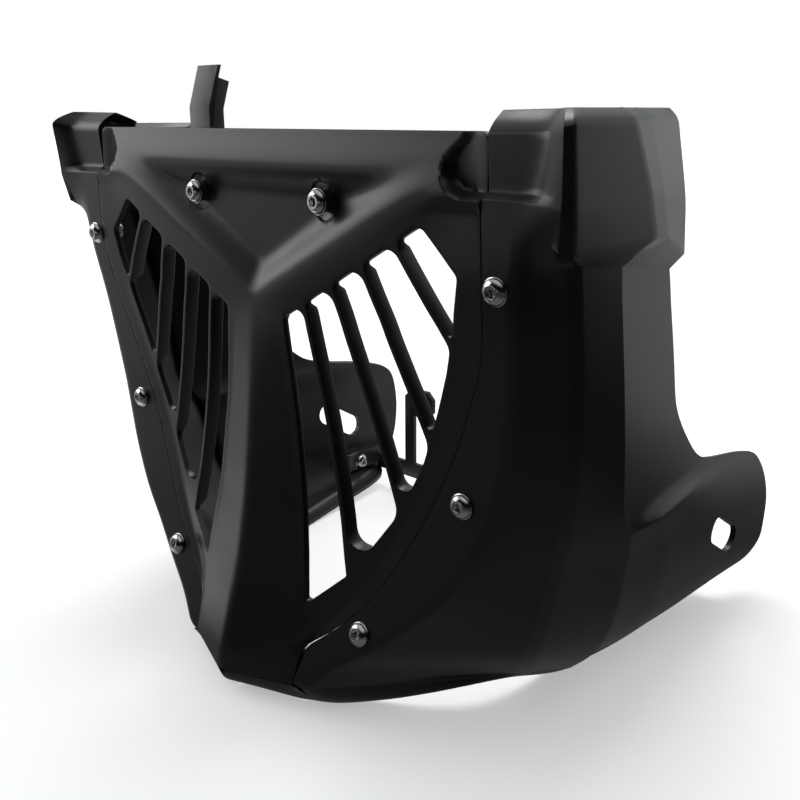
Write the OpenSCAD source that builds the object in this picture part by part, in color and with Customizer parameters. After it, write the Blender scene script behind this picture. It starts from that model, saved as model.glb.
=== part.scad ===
// Motorcycle belly pan: slatted grille panel between two moulded side shells.
// X across, Y to the rear, Z up. The origin lies between the two ear holes of the
// rear bracket, on the rear face of its ears.

/* [Overall] */
// width over the caps of the two shells
pan_w = 312.4;         // [280:0.1:350]
// depth from the foot of the prow to the ends of the tails
pan_d = 271.4;         // [240:0.1:300]
// height from the lip under the tails to the crest of the caps
pan_h = 258.7;         // [230:0.1:290]

/* [Walls and fits] */
// wall of the two side shells
shell_wall = 3;        // [2:0.1:4]
// wall of the grille panel
panel_wall = 3;        // [2:0.1:4]
// open groove between the panel and the shells
groove = 0.4;          // [0.2:0.1:1]
// gap between the panel lip and the shell flange
seat_gap = 0.3;        // [0.1:0.1:0.6]
// thickness of the lip behind the shell flange
lip_wall = 2.6;        // [2:0.1:4]

// how far the rim of the left shell falls off behind its crest
rim_drop = 6;          // [0:0.5:8]

/* [Grille] */
// thickness of a slat
slat_w = 2.4;          // [2:0.1:5]
// depth of the slats
slat_depth = 6.5;      // [5:0.5:14]
// fillet where a slat runs into the frame
slat_fillet = 8;       // [3:0.5:12]
// corner radius of the two openings
opening_r = 3;         // [1:0.5:8]
// depth of the recess that carries the top screws
recess_depth = 7;      // [5:0.5:9]
// diameter of the dish round a top screw
dish_d = 16;           // [12:0.5:18]
// depth of the dish round a top screw
dish_depth = 1;        // [0.2:0.1:1.5]

/* [Screws] */
// thread diameter
screw_d = 6;           // [5:0.5:8]
// head diameter
head_d = 10.5;         // [9:0.5:14]
// height of the domed head
head_h = 3.3;          // [2.5:0.1:5]
// width of the hexagon socket
socket_w = 4;          // [3:0.5:5]
// clearance hole of the screws
hole_d = 6.6;          // [6:0.1:8]
// length of the flange screws under the head
flange_len = 14;       // [10:1:20]
// length of the top screws under the head
top_len = 16;          // [15:1:25]
// length of the tail screws under the head
tail_len = 9;          // [7:0.5:12]
// height of the spacer under a top screw head
spacer_h = 5;          // [2:0.5:5.5]
// diameter of that spacer
spacer_d = 8.6;        // [7.5:0.1:10]
// half the distance between the two top screws
top_x = 40;            // [30:1:60]

/* [Brackets] */
// sheet thickness of the hook bracket
hook_sheet = 2;        // [1.5:0.1:3]
// length of the strip behind the panel
strip_l = 110;         // [100:1:125]
// width of that strip
strip_w = 25;          // [16:1:27]
// width of the tab that rises from the strip
tab_w = 15;            // [10:0.5:20]
// sheet thickness of the rear bracket
bar_sheet = 3;         // [2:0.5:4]
// height of the rear cross bar
bar_h = 10.5;          // [8:0.5:16]
// hole in the ears of the rear bracket
ear_hole_d = 6.6;      // [5:0.1:9]
// half the distance between the ear holes
ear_x = 82;            // [60:1:100]
// width of the posts that carry the ears
post_w = 8;            // [5:0.5:12]

/* [Slots] */
// length of the slot in a shell tail
slot_l = 40;           // [20:1:50]
// width of the slot in a shell tail
slot_w = 14;           // [8:0.5:18]

/* [Hidden] */
$fn = 40;

// the tables below are drawn at the default overall sizes and stretched to the chosen ones
K = [pan_w / 312.4, pan_d / 271.4, pan_h / 258.7];
function fit(p) = [p[0] * K[0], p[1] * K[1], p[2] * K[2]];
function fit_xz(p) = [p[0] * K[0], p[1] * K[2]];

// heights of the rows, measured at the flange beside the panel
LOW_ROWS = [-94, -108, -122, -136, -152, -166, -180, -192, -203, -212, -220, -228, -236,
    -243.5];
ROWS = concat([-28.5, -38, -50, -66, -80], LOW_ROWS);
// half width of the panel
PANEL_X = [[-243.5, 35], [-228, 36.4], [-217.5, 47.3], [-208, 57.4], [-199, 65.7],
    [-186, 74.7], [-172, 82.6], [-158, 89.7], [-144, 96.3], [-130, 102.6], [-117, 108],
    [-102, 113.3], [-87, 118.5], [-80, 119.7], [-66, 121], [-58, 121.3], [-28.5, 120.3], [-5.9, 120.3]];
// depth of the flange face
FLANGE_Y = [[-243.5, -20.3], [-231, -15.2], [-219, -10.2], [-203, -4.6], [-192, -1.8],
    [-180, 0.8], [-166, 3.5], [-152, 5.6], [-136, 6.6], [-122, 6.3], [-108, 5.5],
    [-94, 4.2], [-80, 2.4], [-66, 0.3], [-50, -0.8], [-38, -0.8], [-28.5, -0.7]];
// half width at the crease outside the flange
CREASE_X = [[-243.5, 41], [-231, 53], [-219, 68.5], [-203, 86.5], [-192, 98], [-180, 107],
    [-166, 115.3], [-152, 121], [-136, 125.3], [-122, 128], [-108, 130], [-94, 131.3],
    [-80, 132.6], [-66, 133.8], [-50, 134.6], [-38, 135.5], [-28.5, 137]];
// edge between the front and the side: half width, depth, height
EDGE_X = [[-243.5, 111], [-231, 116.5], [-219, 122.5], [-203, 130.5], [-180, 138],
    [-152, 144], [-122, 147.6], [-94, 149.4], [-66, 150.8], [-50, 152.2], [-28.5, 156]];
EDGE_Y = [[-243.5, 48], [-231, 43.5], [-219, 38], [-203, 33], [-180, 29], [-152, 26],
    [-122, 22.8], [-94, 19], [-66, 13.5], [-50, 8.5], [-38, 0], [-28.5, -3]];
EDGE_Z = [[-243.5, -237], [-231, -229.5], [-219, -219], [-203, -198], [-180, -170],
    [-152, -147], [-122, -120], [-94, -93], [-66, -67], [-50, -47.5], [-38, -44],
    [-28.5, -30]];
// groove between the side band and the rear panel: half width, depth, height
BAND_X = [[-243.5, 114], [-231, 127], [-219, 136], [-203, 143], [-180, 148.5],
    [-166, 150.3], [-152, 151], [-94, 152], [-50, 153.5], [-38, 155.6], [-28.5, 155.8]];
BAND_Y = [[-243.5, 84], [-231, 81], [-219, 77], [-203, 72.5], [-180, 68.5], [-166, 66],
    [-152, 57.5], [-122, 53], [-94, 48.5], [-66, 42], [-50, 38], [-38, 58], [-28.5, 53]];
BAND_Z = [[-243.5, -251], [-231, -237], [-219, -222], [-203, -202.5], [-180, -176],
    [-166, -167], [-152, -153], [-122, -122], [-94, -98], [-66, -69], [-50, -51.5],
    [-38, -43], [-28.5, -31]];
// rear outline of the shell and of its tail: half width, depth, height
REAR_X = [[-243.5, 131], [-231, 137], [-219, 141], [-203, 141], [-180, 137],
    [-166, 138], [-152, 139.5], [-136, 141], [-122, 142], [-66, 142.3], [-50, 143],
    [-38, 144], [-28.5, 144]];
REAR_Y = [[-243.5, 212], [-231, 226], [-219, 236], [-203, 238], [-192, 233], [-180, 222],
    [-166, 186], [-152, 150], [-136, 130], [-122, 118], [-108, 111.5], [-94, 107.5],
    [-66, 99], [-50, 94], [-38, 86], [-28.5, 84]];
REAR_Z = [[-243.5, -244], [-231, -239], [-219, -226], [-203, -206], [-192, -187],
    [-180, -174.5], [-166, -165], [-152, -157.5], [-136, -142], [-122, -130],
    [-108, -119], [-94, -103], [-66, -74], [-50, -60], [-38, -55], [-28.5, -38]];

// depth of the recess floor
FLOOR_Y = recess_depth - 3;
// spine of the grille: depth of the ridge, half width and depth of its borders
RIDGE_Y = [[-243.5, -33.6], [-235, -32.6], [-225, -29.4], [-210, -24.4], [-198, -20],
    [-171, -14.2], [-145, -10.2], [-119, -7.4], [-98, -5.3], [-84, -4], [-76, -2.6],
    [-70, 0.5], [-62, FLOOR_Y - 0.8], [-50, FLOOR_Y]];
SPINE_X = [[-243.5, 34.6], [-228, 36], [-206, 35.8], [-185, 33], [-168, 30], [-145, 27],
    [-117, 23], [-82, 17]];
SPINE_Y = [[-243.5, -20.3], [-226, -15.4], [-206, -10.7], [-185, -7], [-168, -4],
    [-145, -2], [-117, -0.5], [-82, -2.4]];
// feet of the slats on the panel: upper and lower end
SLATS = [[[31.3, -76.2], [55, -189]], [[48.2, -66.7], [78.5, -157]],
    [[65, -56.3], [91.5, -119.5]], [[82.3, -46.9], [104.8, -80]]];
OPENING = [[18.5, -81.5], [94, -38.4], [110.3, -55], [107, -74], [102.5, -92],
    [97, -109], [89.5, -131], [77.5, -156], [56, -187.5], [35.5, -206.5], [32.6, -185],
    [29.8, -168], [26.8, -145], [22.8, -117]];
SCREWS = [[127, -58], [109, -144], [65.5, -211]];
RECESS_Y = FLOOR_Y * K[1];
TOP_Z = -33 * K[2];
// half length, front face and middle height of the rear cross bar
BAR = fit([127, 203, -239.5]);
EAR_Z = -189 * K[2];
// outline of an ear round its hole, with the top of its post
EAR = [[16, -15], [16, 3], [10, 9], [-4, 9], [-9, 4], [-9, -5], [-4, -10], [8, -10], [8, -15]];
// depth and height of the tail screws, and the middle of the tail slots
TAIL_SCREW = [185 * K[1], -236 * K[2]];
TAIL_SLOT = fit([120, 180, -207]);
// upper rim of a shell, from the turned-in edge over the crest to the pocket floor
RIM = [[[110, 21, -4.5], [134, 22, -2], [144, 10, -1], [144, 36, -1], [137, 68, -1]],
    [[119.5, 12, 1], [142, 12, 1.3], [150, 3, 1.5], [150, 37, 1.5], [140, 71, 1.5]],
    [[120.6, 5, -2.6], [143.7, 4.5, -2.5], [154.8, -4, -1.2], [154.6, 38, -1.2],
        [142.3, 73, -1.2]],
    [[120.7, 2, -6.4], [144, 1.5, -6.4], [156.2, -6, -4], [156, 38, -4], [143, 74, -4]],
    [[120.7, 2.2, -20.3], [144, 1.7, -20.8], [156.2, -3.6, -18], [156, 48, -18],
        [143, 82, -18]]];

// rows of the underside: bottom edge and turned-in lip
UNDERSIDE = [[[36, -15.5, -254], [44, -10, -255.3], [51, -5, -255.6], [58, 0, -254.5],
        [70, 8, -252], [86, 19, -246.2], [101, 37, -241.6], [106, 50, -243],
        [109.5, 65, -248.5], [111.5, 83, -253.6], [112, 96, -255.2], [113, 120, -255.6],
        [117, 150, -253], [122, 182, -250.8], [127, 205, -247.5]],
    [[30, -9, -255.2], [37, -3, -256.4], [43, 1, -257], [49, 6, -256], [60, 15, -253.6],
        [75, 26, -248.4], [90, 43, -244.6], [95, 55, -246], [99, 68, -250.5],
        [101, 84, -255.2], [102, 98, -256.8], [103, 121, -257.2], [107, 150, -254.6],
        [112, 181, -252.4], [117, 203, -249.4]]];

function xz(t, z) = lookup(z, t);
function mix(a, b, k) = a + (b - a) * k;
function toward(a, b, d) = a + (b - a) * (d / norm(b - a));
function unit(v) = v / norm(v);

// closed wall over a grid of points: front face g, rear face set back by the vectors off
module wall(g, off) {
    n = len(g);
    m = len(g[0]);
    k = n * m;
    pts = [for (i = [0:n - 1]) for (j = [0:m - 1]) fit(g[i][j]),
        for (i = [0:n - 1]) for (j = [0:m - 1]) fit(g[i][j]) + off[i][j]];
    front = [for (i = [0:n - 2]) for (j = [0:m - 2])
        each [[i * m + j, (i + 1) * m + j, (i + 1) * m + j + 1],
            [i * m + j, (i + 1) * m + j + 1, i * m + j + 1]]];
    back = [for (f = front) [f[2] + k, f[1] + k, f[0] + k]];
    ends = [for (j = [0:m - 2]) for (e = [[0, 1], [n - 1, -1]])
        let (a = e[0] * m + j)
        each (e[1] > 0 ? [[a, a + 1, a + 1 + k], [a, a + 1 + k, a + k]]
            : [[a + 1, a, a + k], [a + 1, a + k, a + 1 + k]])];
    sides = [for (i = [0:n - 2]) for (e = [[0, 1], [m - 1, -1]])
        let (a = i * m + e[0], b = a + m)
        each (e[1] > 0 ? [[b, a, a + k], [b, a + k, b + k]]
            : [[a, b, b + k], [a, b + k, a + k]])];
    polyhedron(pts, [for (f = concat(front, back, ends, sides)) [f[2], f[1], f[0]]],
        convexity = 12);
}

// vectors square to the grid, of length t, pointing to the rear face
function inward(g, t) = let (n = len(g), m = len(g[0]))
    [for (i = [0:n - 1]) [for (j = [0:m - 1])
        let (a = unit(g[min(i + 1, n - 1)][j] - g[max(i - 1, 0)][j]),
            b = unit(g[i][min(j + 1, m - 1)] - g[i][max(j - 1, 0)]))
        -t * unit(cross(a, b))]];

// side shells
function shell_row(p, c, e, s, r, step) = let (m1 = s + step)
    [p, mix(p, c, 0.5), toward(c, p, 2), toward(c, e, 2), mix(c, e, 0.4), mix(c, e, 0.75),
    toward(e, c, 3), toward(e, s, 3), mix(e, s, 0.5), toward(s, e, 1), m1,
    mix(m1, r, 0.22), mix(m1, r, 0.48), mix(m1, r, 0.74), r];
function row_at(z) = let (y = xz(FLANGE_Y, z), px = xz(PANEL_X, z) + groove / K[0])
    shell_row([px, y, z], [xz(CREASE_X, z), y, z],
        [xz(EDGE_X, z), xz(EDGE_Y, z), xz(EDGE_Z, z)],
        [xz(BAND_X, z), xz(BAND_Y, z), xz(BAND_Z, z)],
        [xz(REAR_X, z), xz(REAR_Y, z), xz(REAR_Z, z)],
        z < -45 ? [-3.5, 1.5, 0] : [-3, 14, -2]);
// the lower part of the tail swells out below the crease
function swell(g) = [for (i = [0:len(g) - 1]) [for (j = [0:14]) let (q = g[i][j])
    j > 10 && j < 14 && q[2] < -163 ? q + [3 * sin(60 * (j - 10)) + 1, 0, 0] : q]];
function shell_face(drop) = swell(concat(
    [for (t = RIM) let (fall = t[0][2] < -10 ? [0, 0, 0] : [0, 0, -drop])
        shell_row(t[0], t[1], t[2], t[3] + fall, t[4] + fall, [-3, 14, 0])],
    [for (z = ROWS) row_at(z)],
    UNDERSIDE));
function shell_in(face) = let (v = inward(face, shell_wall))
    [for (i = [0:len(v) - 1]) [for (j = [0:14])
        j < 3 && i > 2 && i < 24 ? [0, shell_wall, 0] : v[i][j]]];
// chin below the foot of the panel, its outer end sunk a little into the shell wall
CHIN_X = [0.15, 12, 24, 35, 40];
CHIN = [for (r = [[-244.2, -33.4, -28.8, -24.2, -20, -20.4],
    [-250, -31.4, -26.6, -21.9, -17.3, -14.8], [-254, -26, -22, -18.4, -15.2, -11.6],
    [-255.2, -14, -12, -10, -8, -5]]) [for (j = [0:4]) [CHIN_X[j], r[j + 1], r[0]]]];
CHIN_IN = let (v = inward(CHIN, shell_wall))
    [for (i = [0:3]) [for (j = [0:4])
        i == 0 ? [0, shell_wall, 0] : [0, v[i][j][1], v[i][j][2]]]];

module side_shell(drop = 0) {
    face = shell_face(drop);
    difference() {
        union() {
            wall(face, shell_in(face));
            wall(CHIN, CHIN_IN);
            tail_boss();
        }
        for (s = SCREWS) flange_axis(s) cylinder(d = hole_d, h = 16, center = true);
        tail_slot();
        tail_axis() translate([0, 0, -1]) cylinder(d = screw_d, h = 7);
    }
}

module tail_slot()
    translate(TAIL_SLOT) rotate([-31, 0, 0]) rotate([0, 90, 0])
        linear_extrude(60, center = true) slot(slot_l, slot_w);

module slot(l, w) union() {
    square([w, l - w], center = true);
    for (s = [-1, 1]) translate([0, s * (l - w) / 2]) circle(d = w);
}

function flange_slope(z) = atan(K[1] * (xz(FLANGE_Y, z + 3) - xz(FLANGE_Y, z - 3)) / (6 * K[2]));

// origin on the flange face at a screw, Z out of the face
module flange_axis(s) translate(fit([s[0], xz(FLANGE_Y, s[1]), s[1]]))
    rotate([90 - flange_slope(s[1]), 0, 0]) children();

// origin on the inner end of the boss in the tail, Z outward
module tail_axis() translate([BAR[0], TAIL_SCREW[0], TAIL_SCREW[1]]) rotate([0, 90, 0])
    children();

// boss that fills the bevel of the tail behind the end of the rear bracket
module tail_boss() translate([0, TAIL_SCREW[0] + 6, 0]) rotate([90, 0, 0])
    linear_extrude(12) polygon([for (q = [[127, -229.5], [137, -229.5], [135.6, -237],
        [130, -242.5], [127, -242.5]]) fit_xz(q)]);

// grille panel
function recess_x(z) = 103 * (z + 72) / 51.5;
function arm_y(z) = xz([[-72, -2.6], [-46, -3], [-33, -3], [-28.5, -2.6]], z);
// depth of the panel face: spine facets in the middle, level with the flange outside
function face_y(x, z) = let (sx = xz(SPINE_X, z), px = xz(PANEL_X, z))
    x < sx ? mix(xz(RIDGE_Y, z), xz(SPINE_Y, z), x / sx)
    : mix(xz(SPINE_Y, z), xz(FLANGE_Y, z), min(1, (x - sx) / max(1, px - 9 - sx)));
function spine_row(z) = let (px = xz(PANEL_X, z), c = min(xz(SPINE_X, z) - 4, px - 7),
        d = max(px - 9, mix(c, px, 0.6)))
    [for (x = [0, 2.5, c / 2, c, mix(c, d, 0.5), d, px])
        [x, x == 0 ? face_y(1.2, z) : face_y(x, z), z]];
function recess_row(z) = let (px = xz(PANEL_X, z), fy = xz(FLANGE_Y, z), rx = recess_x(z),
        ry = xz(RIDGE_Y, z), c = min(rx + 6, px - 16))
    [[0, ry, z], [(rx - 5) / 2, ry, z], [rx - 5, ry, z], [c, arm_y(z), z],
    [mix(c, px - 9, 0.5), mix(arm_y(z), fy, 0.5), z], [px - 9, fy, z], [px, fy, z]];
PANEL_HALF = concat(
    [for (q = [[-5.9, 4], [-12, 1.6], [-19.5, -0.8]]) let (z = q[0], k = (z + 5.9) / -22)
        [[0, q[1], z], [30, q[1], z], [62, q[1], z], [92, q[1], z], [106.5 - 3 * k, q[1], z],
            [109 - 2 * k, max(q[1], 3.2), z], [120.3, 3, z]]],
    [let (z = -23, rx = recess_x(z), ry = mix(-0.8, FLOOR_Y, 0.55))
        [[0, ry, z], [30, ry, z], [62, ry, z], [rx - 6, ry, z], [rx + 4, -1.2, z],
            [109.2, 1.6, z], [120.3, 1.7, z]]],
    [for (z = [-28.5, -33, -38, -44, -50, -58]) recess_row(z)],
    [for (z = [-66, -72]) let (fy = xz(FLANGE_Y, z), ry = xz(RIDGE_Y, z), px = xz(PANEL_X, z))
        [[0, ry, z], [z < -70 ? 2 : 5, ry + (z < -70 ? -0.2 : 0), z],
            [z < -70 ? 5 : 10, mix(ry, arm_y(z), 0.4), z], [z < -70 ? 15 : 20, arm_y(z), z],
            [70, mix(arm_y(z), fy, 0.5), z], [px - 9, fy, z], [px, fy, z]]],
    [for (z = concat([-79], LOW_ROWS)) spine_row(z)]);
function both(h) = [for (r = h) concat([for (j = [6:-1:1]) [-r[j][0], r[j][1], r[j][2]]], r)];
PANEL = both(PANEL_HALF);
// lip that reaches behind the flanges of the shells
LIP_REACH = [[-219, 21.5], [-203, 20], [-180, 20], [-152, 17.5], [-136, 15.5], [-108, 13],
    [-80, 11], [-50, 11.2], [-38, 11.2]];
LIP = [for (z = [for (r = ROWS) if (r > -220 && r < -30) r])
    let (y = xz(FLANGE_Y, z), px = xz(PANEL_X, z), seat = y + (shell_wall + seat_gap) / K[1])
    [[px - 7, y + (panel_wall - 1) / K[1], z], [px - 1.5, seat, z], [px + 5, seat, z],
        [px + xz(LIP_REACH, z), seat, z]]];
function back(g, t) = [for (r = g) [for (q = r) [0, t, 0]]];

// blade between two points of the panel face, with a fillet at each end
module slat(s) {
    a = fit_xz(s[0]);
    d = fit_xz(s[1]) - a;
    l = norm(d);
    ya = face_y(s[0][0], s[0][1]) * K[1] + 0.6;
    yb = face_y(s[1][0], s[1][1]) * K[1] + 0.8;
    w = slat_w / 2;
    r = slat_fillet;
    arc = [for (a = [0:15:60]) [r * sin(a), r * (1 - cos(a))]];
    translate([a[0], 0, a[1]]) rotate([0, atan2(-d[1], d[0]), 0]) {
        translate([0, 0, -w]) linear_extrude(slat_w)
            polygon([[-4, ya], [l + 3, yb], [l + 3, yb + slat_depth], [-4, ya + slat_depth]]);
        translate([0, yb + slat_depth - 1.2, 0]) rotate([90, 0, 0])
            linear_extrude(slat_depth - 1.8) translate([l, 0])
                polygon(concat([[3, 0]], [for (q = arc) q + [-4, w]], [[3, 7]]));
        translate([0, ya + slat_depth - 0.4, 0]) rotate([90, 0, 0])
            linear_extrude(slat_depth - 1.8)
                polygon(concat([[-4, 0]], [for (q = arc) [4 - q[0], -w - q[1]]]));
    }
}

// polygon with its corners rounded by arcs
function rounded(p, r) = [for (i = [0:len(p) - 1])
    let (a = p[i], b = p[(i + len(p) - 1) % len(p)], c = p[(i + 1) % len(p)],
        u = unit(b - a), v = unit(c - a), h = acos(max(-1, min(1, u * v))) / 2,
        d = min(r / tan(h), norm(b - a) / 2.2, norm(c - a) / 2.2))
    each (h > 80 ? [a] : [for (k = [0:0.25:1])
        let (e = a + u * d, f = a + v * d) mix(mix(e, a, k), mix(a, f, k), k)])];

module grille_half() {
    difference() {
        wall(LIP, back(LIP, lip_wall));
        for (s = SCREWS) flange_axis(s) cylinder(d = hole_d, h = 30, center = true);
    }
    for (s = SLATS) slat(s);
}

module grille_panel() color("#15171a") body() {
    difference() {
        wall(PANEL, back(PANEL, panel_wall));
        for (m = [0, 1]) mirror([m, 0, 0]) rotate([90, 0, 0])
            linear_extrude(90, center = true)
                polygon(rounded([for (q = OPENING) fit_xz(q)], opening_r));
        for (s = [-1, 1]) translate([s * top_x, RECESS_Y, TOP_Z]) rotate([90, 0, 0]) {
            cylinder(d = hole_d, h = 40, center = true);
            translate([0, 0, -dish_depth]) cylinder(d = dish_d, h = 4);
        }
    }
    grille_half();
    mirror([1, 0, 0]) grille_half();
}

module right_shell() color("#15171a") body() side_shell();
module left_shell() color("#15171a") body() mirror([1, 0, 0]) side_shell(rim_drop);

// screws, nuts and spacers
module body() translate([0, -BAR[1] - bar_sheet, -EAR_Z]) children();

module button_screw(l) {
    difference() {
        union() {
            rotate_extrude() polygon(concat([[0, 0], [head_d / 2, 0], [head_d / 2, 0.7]],
                [for (a = [0:10:80]) [(head_d / 2 - 0.4) * cos(a), 0.7 + (head_h - 0.7) * sin(a)]],
                [[0, head_h]]));
            translate([0, 0, -l]) cylinder(d = screw_d, h = l + 0.1);
        }
        translate([0, 0, head_h - 2]) cylinder(d = socket_w / cos(30), h = 3, $fn = 6);
    }
}

module flange_nut() {
    difference() {
        union() {
            cylinder(d = 13, h = 1.4);
            cylinder(d = 10 / cos(30), h = 6, $fn = 6);
        }
        translate([0, 0, -1]) cylinder(d = screw_d, h = 8);
    }
}

module pairs() for (m = [0, 1]) mirror([m, 0, 0]) children();

module flange_screws() color("#c9ccd0") body() pairs()
    for (s = SCREWS) flange_axis(s) button_screw(flange_len);

module flange_nuts() color("#9a9da1") body() pairs() for (s = SCREWS) flange_axis(s)
    translate([0, 0, -(shell_wall + seat_gap + lip_wall) * cos(flange_slope(s[1]))])
        mirror([0, 0, 1]) flange_nut();

// origin on the floor of the dish, Z to the front
module top_axis() translate([top_x, RECESS_Y + dish_depth, TOP_Z]) rotate([90, 0, 0])
    children();

module top_screws() color("#c9ccd0") body() pairs()
    top_axis() translate([0, 0, spacer_h]) button_screw(top_len);

module top_spacers() color("#b4b7bb") body() pairs() top_axis() difference() {
    cylinder(d = spacer_d, h = spacer_h);
    translate([0, 0, -1]) cylinder(d = screw_d, h = spacer_h + 2);
}

module top_nuts() color("#9a9da1") body() pairs() top_axis()
    translate([0, 0, dish_depth - panel_wall - hook_sheet]) mirror([0, 0, 1]) flange_nut();

// hook bracket: a strip held by both top screws, with a ribbed tab that rises behind the panel
module hook_bracket() color("#202225") body() {
    y = RECESS_Y + panel_wall;
    difference() {
        translate([-strip_l / 2 - 5, y, TOP_Z - 11]) cube([strip_l, hook_sheet, strip_w]);
        for (s = [-1, 1]) translate([s * top_x, 0, TOP_Z]) rotate([90, 0, 0])
            cylinder(d = hole_d, h = 40, center = true);
    }
    translate([-strip_l / 2 - 3, y, TOP_Z]) rotate([0, 90, 0]) {
        linear_extrude(tab_w) polygon([[-12.5, 0], [-23, 5.5], [-36, 5.5], [-54, 11.6],
            [-54, 11.6 + hook_sheet], [-36.4, 5.5 + hook_sheet], [-22, 5.5 + hook_sheet],
            [-12.5, hook_sheet]]);
        translate([0, 0, tab_w - hook_sheet]) linear_extrude(hook_sheet)
            polygon([[-17, 3], [-23, 5.6], [-36, 5.6], [-49, 10.2], [-47, 17.5],
                [-35, 13.5], [-23, 13.5]]);
    }
}

// rear bracket between the tails
module rear_bracket() color("#33363a") body() difference() {
    union() {
        translate([2 - BAR[0], BAR[1], BAR[2] - bar_h / 2])
            cube([2 * BAR[0] - 4, bar_sheet, bar_h]);
        for (s = [-1, 1]) {
            translate([s * (BAR[0] - bar_sheet / 2), BAR[1] - 13, TAIL_SCREW[1] + 1])
                cube([bar_sheet, 32, 12], center = true);
            translate([s * (ear_x + 12) - post_w / 2, BAR[1], BAR[2]])
                cube([post_w, bar_sheet, EAR_Z - BAR[2]]);
            translate([s * ear_x, BAR[1] + bar_sheet, EAR_Z]) rotate([90, 0, 0])
                linear_extrude(bar_sheet) polygon([for (q = EAR) [s * q[0], q[1]]]);
        }
    }
    for (s = [-1, 1]) {
        translate([s * ear_x, BAR[1], EAR_Z]) rotate([90, 0, 0])
            cylinder(d = ear_hole_d, h = 20, center = true);
        translate([s * BAR[0], TAIL_SCREW[0], TAIL_SCREW[1]]) rotate([0, 90, 0])
            cylinder(d = hole_d, h = 20, center = true);
    }
}

module tail_screws() color("#c9ccd0") body() pairs()
    tail_axis() translate([0, 0, -bar_sheet]) mirror([0, 0, 1]) button_screw(tail_len);

grille_panel();
left_shell();
right_shell();
flange_screws();
flange_nuts();
top_screws();
top_spacers();
top_nuts();
hook_bracket();
rear_bracket();
tail_screws();
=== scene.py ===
"""Motorcycle belly pan: moulded plastic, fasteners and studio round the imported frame."""
import math

import bmesh
import bpy
import numpy as np
from mathutils import Matrix, Vector
from mathutils.geometry import delaunay_2d_cdt
from mathutils.kdtree import KDTree


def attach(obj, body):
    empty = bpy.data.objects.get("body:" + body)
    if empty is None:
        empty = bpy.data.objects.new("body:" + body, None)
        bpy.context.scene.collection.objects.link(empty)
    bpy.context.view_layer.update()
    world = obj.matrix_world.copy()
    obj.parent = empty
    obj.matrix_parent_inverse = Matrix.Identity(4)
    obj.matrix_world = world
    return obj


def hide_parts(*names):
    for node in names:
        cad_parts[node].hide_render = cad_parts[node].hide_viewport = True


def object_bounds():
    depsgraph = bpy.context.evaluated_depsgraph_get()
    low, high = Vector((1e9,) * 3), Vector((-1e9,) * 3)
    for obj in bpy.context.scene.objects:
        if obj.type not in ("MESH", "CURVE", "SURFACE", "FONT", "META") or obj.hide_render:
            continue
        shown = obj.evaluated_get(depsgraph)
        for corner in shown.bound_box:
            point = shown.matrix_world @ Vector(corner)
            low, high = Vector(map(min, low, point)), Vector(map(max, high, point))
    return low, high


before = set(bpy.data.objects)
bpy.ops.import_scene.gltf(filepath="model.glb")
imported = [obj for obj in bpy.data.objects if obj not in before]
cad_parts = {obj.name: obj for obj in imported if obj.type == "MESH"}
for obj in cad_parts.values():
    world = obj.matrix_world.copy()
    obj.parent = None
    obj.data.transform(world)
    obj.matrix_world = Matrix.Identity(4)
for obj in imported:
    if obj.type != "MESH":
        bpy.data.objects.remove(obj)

START = [list(corner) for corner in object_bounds()]

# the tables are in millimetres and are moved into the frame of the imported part
MM = 0.001
SHIFT = np.array([0.0, -206.0, 189.0])

SHELL_WALL = 3.0
PANEL_WALL = 3.0
GROOVE = 0.3
SEAT_GAP = 0.3
LIP_WALL = 2.6
RIM_DROP = 6.0
CAP_REACH = 18.0
SLAT_W = 2.4
SLAT_DEPTH = 6.8
EDGE_R = 0.35
SCREW_R = 3.0
HOLE_R = 3.3
HEAD_R = 5.25
HEAD_H = 3.3
SOCKET_W = 3.4
SPACER_R = 4.3
SPACER_H = 5.0
DISH_R = 8.0
DISH_DEPTH = 1.0
FLANGE_LEN = 14.0
TOP_LEN = 16.0
TAIL_LEN = 9.0
BAR_SHEET = 3.0
HOOK_SHEET = 2.0
TOP_AT = (40.0, 5.0, -33.0)
TAIL_AT = (127.0, 185.0, -236.0)
RECESS_Y = 4.0
LEDGE_UP = 0.42
LEDGE_FOOT = 0.10
BORDER_W = 9.0
TAIL_TOP = -163.0
TAIL_BULGE = 3.0
FOLD_INSET = 4.0
LIP_INSET = 7.0
RIDGE_FLAT = 1.2
PANEL_HALF = 120.3
PANEL_TOP = -5.9
PANEL_FOOT = -243.5
TOP_CORNER = 4.0
FINE_NET = 0.9
NUT_FLANGE_R = 6.5
NUT_ACROSS = 10.0
NUT_H = 6.0
# corner radii of the gaps between the slats, low and high, by the slat before and after
FOOT_R = 1.5
LOW_BEFORE, LOW_AFTER = 14.0, 9.0
HIGH_BEFORE, HIGH_AFTER = 3.5, 6.0

LOW_ROWS = [-94, -108, -122, -136, -152, -166, -180, -192, -203, -212, -220, -228, -236,
            -243.5]
ROWS = [-28.5, -38, -50, -66, -80] + LOW_ROWS
PANEL_X = [[-243.5, 35], [-228, 36.4], [-217.5, 47.3], [-208, 57.4], [-199, 65.7],
           [-186, 74.7], [-172, 82.6], [-158, 89.7], [-144, 96.3], [-130, 102.6],
           [-117, 108], [-102, 113.3], [-87, 118.5], [-80, 119.7], [-66, 121],
           [-58, 121.3], [-28.5, 120.3], [-5.9, 120.3]]
FLANGE_Y = [[-243.5, -20.3], [-231, -15.2], [-219, -10.2], [-203, -4.6], [-192, -1.8],
            [-180, 0.8], [-166, 3.5], [-152, 5.6], [-136, 6.6], [-122, 6.3], [-108, 5.5],
            [-94, 4.2], [-80, 2.4], [-66, 0.3], [-50, -0.8], [-38, -0.8], [-28.5, -0.7]]
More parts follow.
